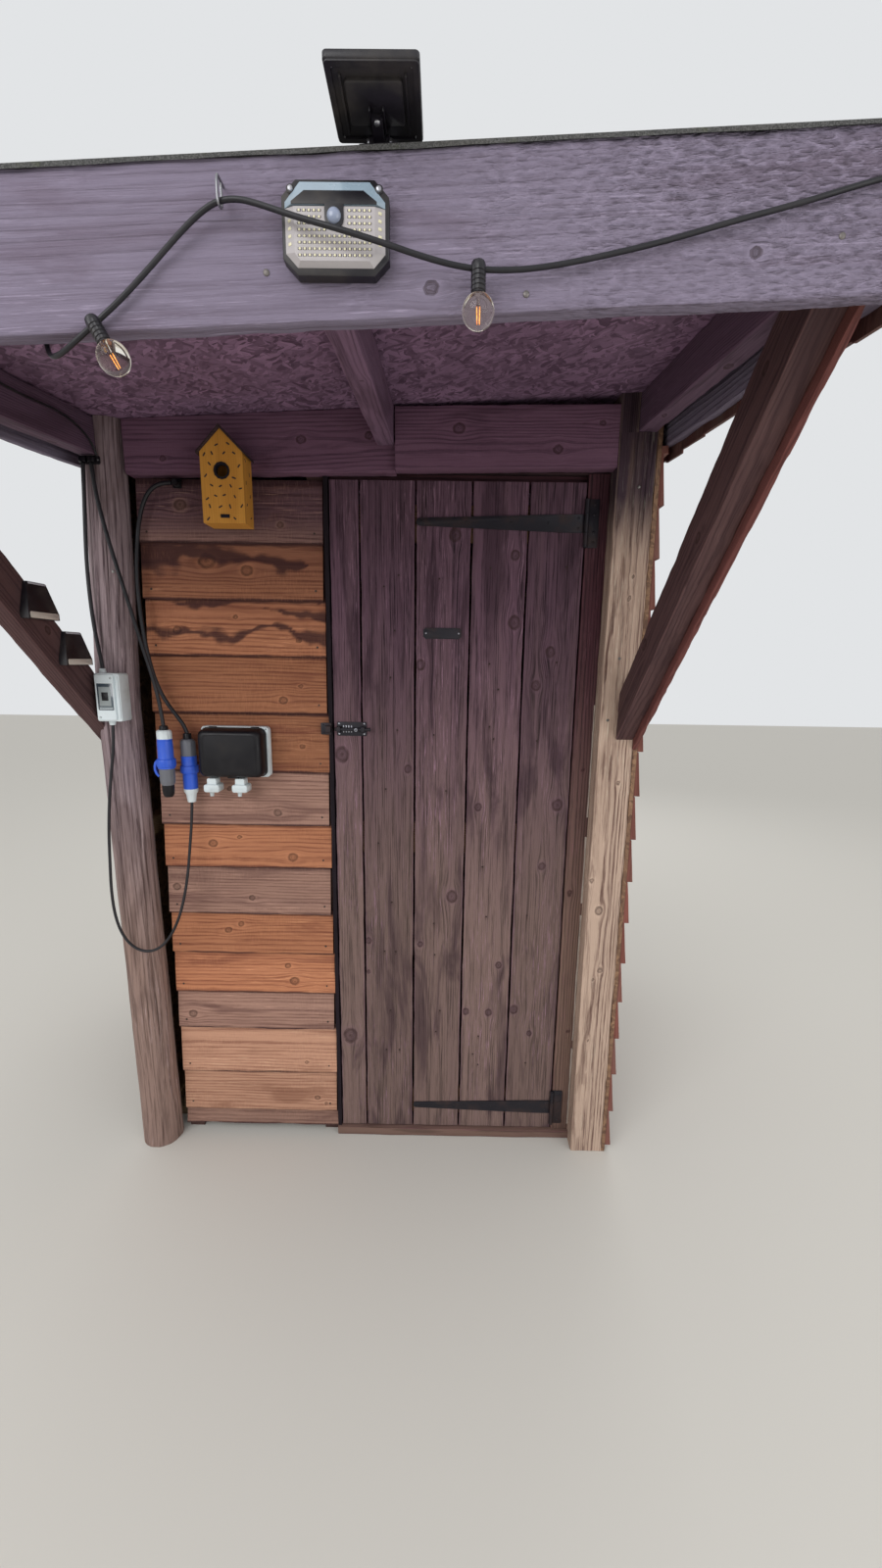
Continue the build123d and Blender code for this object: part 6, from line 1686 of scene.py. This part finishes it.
class OUTHOUSE_OT_electrics(bpy.types.Operator):
    """Fit the socket box with its plugs, the two couplers, the breaker enclosure, the cable clips and the eye hook"""

    bl_idname = "outhouse.electrics"
    bl_label = "Electrics"

    def execute(self, context):
        fittings = context.scene.outhouse_fittings
        grain = {"scale": 700.0, "relief": 0.0001}
        self.black = moulded(
            "Black_housing", tuple(v * 0.6 for v in fittings.plastic), 0.4, speck=0.1, dusty=0.05,
            Specular_IOR_Level=0.3, **grain,
        )
        self.pale = moulded("Pale_housing", tuple(fittings.pale), 0.45, speck=0.06, dusty=0.3, **grain)
        self.blue = moulded("Blue_plastic", tuple(fittings.blue), 0.4, speck=0.08, dusty=0.12, **grain)
        self.grey = moulded("Grey_collar", rgb(106, 108, 116), 0.5, speck=0.1, dusty=0.3, **grain)
        self.steel = moulded("Small_screw", rgb(150, 150, 154), 0.35, Metallic=0.85)
        self.socket_box()
        self.couplers()
        self.breaker()
        self.clips()
        return {"FINISHED"}

    def socket_box(self):
        """A pale grey back box, a black lid that bulges forward with a soft edge, its hinges and catch, and plugs."""
        back, lid, plugs, heads = Pile(), Pile(), Pile(), Pile()
        at = np.array((-385, 0, 1284.5))
        loft(back, at, X, Z, rounded(192, 145, 10), ((0.99, 0.99, 4.6), (1, 1, 5.8), (1, 1, 27), (0.985, 0.98, 29)))
        shape = rounded(184, 140, 18, 6)
        loft(lid, at - 2 * X, X, Z, shape, (
            (0.97, 0.965, 28), (1, 1, 29.5), (1, 1, 34.5), (0.985, 0.98, 36), (0.975, 0.967, 58), (0.955, 0.945, 68),
            (0.915, 0.895, 75), (0.86, 0.83, 78.5), (0.80, 0.76, 79.4)))
        rim(lid, at - 2 * X, X, Z, rounded(146, 106, 10), 1.8, 78, 79.8)
        for x in (-60, 60):
            turned(lid, at + (x - 11, -32.5, 68.2), X, ((3.5, 0), (4.2, 0.8), (4.2, 21.2), (3.5, 22)), 16)
        plate(lid, at + (0, -56, -66.5), X, -Y, rounded(30, 20, 3), 0, 4, 0.8)
        for x in (-93, 93):
            screw_head(heads, at + (x * 0.955, -28.8, 66), -Y, 2.6)
        for x in (-448, -368):
            stem = np.array((x, 0, 1199.5))
            loft(
                plugs, stem, X, Z, rounded(27, 24.5, 4),
                ((0.95, 0.95, 28.5), (1, 1, 30), (1, 1, 57.5), (0.94, 0.94, 59.5)),
            )
            low = stem - 16.5 * Z
            loft(
                plugs, low, X, Z, rounded(44, 22.5, 6),
                ((0.95, 0.93, 25.5), (1, 1, 27), (1, 1, 62), (0.96, 0.93, 64), (0.90, 0.84, 64.8)),
            )
            for z in (-3, 0, 3):
                loft(plugs, low + z * Z, X, Z, rounded(20, 1.2, 0.5, 1), ((1, 1, 64.4), (0.97, 0.8, 65.4)))
            neck = [(7.2 - 1.2 * (step % 2) - 0.2 * step, 1.8 * step) for step in range(9)]
            turned(plugs, (x - 6, -45, 1172.2), -Z, neck, 16)
        back.piece("socket_box_back", self.pale, "grey_plastic", "socket_box")
        lid.piece("socket_box_lid", self.black, "black_plastic")
        plugs.piece("socket_plug_tops", self.pale, "grey_plastic", "socket_plugs")
        heads.piece("socket_box_screws", self.steel, "bright_steel")

    def couplers(self):
        """Turned bodies: caps, collars with finger ribs and glands, each on the outline that the frame has."""
        blue, grey, pale, gland = Pile(), Pile(), Pile(), Pile()
        first, second = np.array((-562, -80, 1362)), np.array((-520, -31, 1336))

        def coupler(top, *parts):
            for pile, around, ribs, depth, profile in parts:
                turned(pile, top, -Z, profile, around, ribs, depth)

        coupler(
            first, (gland, 24, 0, 0, ((10.5, 0.2), (11, 1), (12, 11.5), (10.5, 12))),
            (pale, 40, 12, 0.05, ((15, 11.5), (18.5, 13.5), (20, 17), (20, 36), (19.5, 36.6))),
            (blue, 36, 0, 0, (
                (19.5, 36.2), (20, 37.2), (20, 39), (19, 39.4), (19, 41), (20, 41.6), (20.8, 89), (21.5, 91.5))),
            (blue, 48, 16, 0.045, ((21.5, 90.5), (24.5, 92.5), (25.5, 96), (25.5, 110), (24.5, 113.5), (21.5, 115))),
            (blue, 36, 0, 0, ((22.5, 114.5), (22.8, 118), (21.5, 119))),
            (grey, 40, 12, 0.04, ((20.5, 118), (20.5, 150), (19.5, 160), (16.5, 166))),
            (gland, 30, 10, 0.06, ((16.5, 165.5), (16.5, 180), (15, 193), (11, 200))),
        )
        curl = (
            (-578, 1269), (-586, 1267.5), (-592.5, 1261), (-595.8, 1250), (-595.8, 1238), (-592, 1227), (-585, 1218.5),
            (-580, 1222.5), (-586.5, 1230), (-590, 1239), (-590, 1248.5), (-587.5, 1255.5), (-583, 1259.5), (-577, 1260)
        )
        plate(blue, (0, -72.8, 0), X, Z, curl, 0, 14.4, 1.2)
        turned(blue, (-585.5, -72, 1264), -Y, ((3, 0), (3.4, 0.8), (3.4, 15.2), (3, 16)), 14)
        coupler(
            second, (gland, 24, 0, 0, ((10.5, 0.2), (11, 1), (12, 16.5), (11, 17))),
            (grey, 40, 12, 0.04, ((15, 16.5), (19, 20), (20.5, 24), (20.8, 64), (20, 64.8))),
            (blue, 36, 0, 0, ((20, 64.2), (21, 65), (21, 90.5), (21.6, 92))),
            (blue, 48, 16, 0.04, ((21.6, 91.2), (24.5, 93), (25, 96), (25, 110), (24, 113), (21, 114.5))),
            (blue, 36, 0, 0, ((20.5, 114), (20.5, 116), (19.8, 116.6), (19.8, 159), (19, 160))),
            (pale, 36, 12, 0.05, ((19, 159.6), (20, 160.4), (19.5, 169), (15, 176), (11.5, 199.5))),
        )
        blue.piece("coupler_bodies", self.blue, "blue_plastic", "couplers")
        grey.piece("coupler_grips", self.grey, "grey_plastic")
        pale.piece("coupler_collars", self.pale, "grey_plastic")
        gland.piece("coupler_glands", self.black, "black_plastic")

    def breaker(self):
        """A pale enclosure with a raised cover, a dark window over the breaker's face, screws and two glands."""
        body, window, switch, dots = Pile(), Pile(), Pile(), Pile()
        at = np.array((-681.5, 0, 1439.5))
        loft(
            body, at, X, Z, rounded(67, 127, 6),
            ((0.98, 0.99, 76.5), (1, 1, 78), (1, 1, 121.5), (0.985, 0.992, 124), (0.95, 0.97, 125.2)),
        )
        cover = at - 4.5 * X
        loft(body, cover, X, Z, rounded(50, 120, 4), ((1, 1, 124), (1, 1, 127.8), (0.97, 0.985, 129.2)))
        rim(body, cover + 2 * Z, X, Z, rounded(47, 76, 3), 2.6, 128.6, 130.2)
        plate(body, at + 27.5 * X, X, Z, rounded(6, 112, 2), 124.5, 128, 0.8)
        for z in (-30, -26.5, 37.5, 40.5):
            plate(body, cover + z * Z, X, Z, rounded(36, 1.2, 0.4, 1), 128.8, 129.7, 0.3)
        plate(window, cover + 2 * Z, X, Z, rounded(42.2, 71.2, 2), 128, 129.6, 0.4)
        plate(switch, cover + (-1, 0, 3), X, Z, rounded(31, 50, 1), 129.2, 129.9, 0.3)
        plate(dots, cover + (-1, 0, 3), X, Z, rounded(17.5, 22, 1), 129.6, 130.3, 0.3)
        for x, z in ((17, 51), (-18, -52.5)):
            turned(dots, cover + (x, -128.6, z), -Y, ((2.8, 0), (2.8, 0.8), (2, 0.9), (1.8, 0.4)), 14)
        for x, side in ((-703, 1), (-690, -1)):
            foot = np.array((x, -100, 1439.5 + side * 63.2))
            turned(
                body, foot, side * Z, ((8.8, 0), (9, 1), (9, 6), (8, 6.6), (7.8, 10.5), (6.4, 12.2)), 36, ribs=12,
                depth=0.06,
            )
        body.piece("breaker_enclosure", self.pale, "grey_plastic", "breaker_box")
        smoked = moulded(
            "Smoked_window", rgb(70, 82, 92), 0.12, speck=0.04, dusty=0.3, Coat_Weight=1.0, Coat_Roughness=0.08
        )
        window.piece("breaker_window", smoked, "black_plastic", sharp=30)
        switch.piece("breaker_face", moulded("Breaker_face", rgb(150, 158, 160), 0.4, dusty=0.3), "grey_plastic")
        dots.piece("breaker_toggle", self.black, "black_plastic")

    def clips(self):
        """Small clips for the cables: a saddle on the pole, an elbow on the boards and one at each end of the lamps,
        and the eye hook, a bent wire."""
        pile, heads = Pile(), Pile()
        loft(
            pile, (-696, 0, 2032), X, Z, rounded(52, 20, 4),
            ((0.98, 0.95, 72.8), (1, 1, 73.8), (1, 1, 76), (0.98, 0.93, 76.8)),
        )
        for x in (-712, -690):
            loft(
                pile, (x, 0, 2032), X, Z, rounded(18.5, 14, 3),
                ((1, 1, 76), (1, 1, 81.5), (0.86, 0.96, 84.5), (0.60, 0.9, 85.9)),
            )
        for x in (-718.5, -674.5):
            screw_head(heads, (x, -76.8, 2032), -Y, 2.4)
        loft(
            pile, (-508, 0, 1998), X, Z, rounded(24, 24, 4),
            ((0.97, 0.97, 4.5), (1, 1, 5.5), (1, 1, 7.5), (0.96, 0.96, 8.5)),
        )
        turned(
            pile, (-508, -8, 1998), -Y, ((10, 0), (10, 5), (8.6, 6), (8.6, 15), (7.4, 17.5)), 36, ribs=12, depth=0.06
        )
        for spot, tall in (((-290, -866.5, 1948), 12.8), ((750, -904.6, 2089), 13)):
            loft(pile, spot, X, Z, rounded(19.5, 18, 4), ((0.97, 0.97, 0), (1, 1, 1), (1, 1, 2.6), (0.95, 0.95, 3.4)))
            loft(
                pile, np.add(spot, (4, 0, 0)), X, Z, rounded(11, 16.5, 4),
                ((1, 1, 3), (1, 1, tall * 0.72), (0.86, 0.94, tall * 0.92), (0.60, 0.86, tall)),
            )
            screw_head(heads, np.add(spot, (-6, -3.4, 0)), -Y, 2.4)
        pile.piece("cable_clip_mouldings", self.black, "black_plastic", "cable_clips")
        heads.piece("cable_clip_screws", self.steel, "bright_steel")
        x, y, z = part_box("eye_hook")[0] * 1000
        wire = [(x + 1.5, y + out, z + up) for out, up in (
            (24, 30), (10, 30), (1.2, 29), (1.2, 6), (3, 1.5), (8.5, 1.4), (13.8, 3), (15, 9), (15, 24), (12.5, 27.2))]
        cable("eye_hook_wire", wire, 3, self.steel, "eye_hook", slot="bright_steel")


class OUTHOUSE_PT_panel(bpy.types.Panel):
    """Sidebar panel that lists every step in the order they are run"""

    bl_label = "Outhouse"
    bl_idname = "OUTHOUSE_PT_panel"
    bl_space_type = "VIEW_3D"
    bl_region_type = "UI"
    bl_category = "Outhouse"

    def draw(self, context):
        for step in STEPS:
            self.layout.operator(step.bl_idname)
        for group in (context.scene.outhouse_timber, context.scene.outhouse_cladding, context.scene.outhouse_fittings):
            column = self.layout.box().column()
            for label in group.__annotations__:
                column.prop(group, label)


STEPS = (
    OUTHOUSE_OT_camera, OUTHOUSE_OT_cords, OUTHOUSE_OT_lapped_boards, OUTHOUSE_OT_door, OUTHOUSE_OT_front_frame,
    OUTHOUSE_OT_roof_timbers, OUTHOUSE_OT_inside_timber, OUTHOUSE_OT_shingles, OUTHOUSE_OT_felt, OUTHOUSE_OT_ironwork,
    OUTHOUSE_OT_nest_box, OUTHOUSE_OT_lights, OUTHOUSE_OT_electrics, OUTHOUSE_OT_stage,
)
CLASSES = (TimberSettings, CladdingSettings, FittingSettings, *STEPS, OUTHOUSE_PT_panel)


def register():
    for kind in CLASSES:
        bpy.utils.register_class(kind)
    bpy.types.Scene.outhouse_timber = bpy.props.PointerProperty(type=TimberSettings)
    bpy.types.Scene.outhouse_cladding = bpy.props.PointerProperty(type=CladdingSettings)
    bpy.types.Scene.outhouse_fittings = bpy.props.PointerProperty(type=FittingSettings)


def unregister():
    del bpy.types.Scene.outhouse_fittings
    del bpy.types.Scene.outhouse_cladding
    del bpy.types.Scene.outhouse_timber
    for kind in reversed(CLASSES):
        bpy.utils.unregister_class(kind)


def main():
    register()
    for step in STEPS:
        group, call = step.bl_idname.split(".")
        getattr(getattr(bpy.ops, group), call)()


if __name__ == "__main__":
    main()
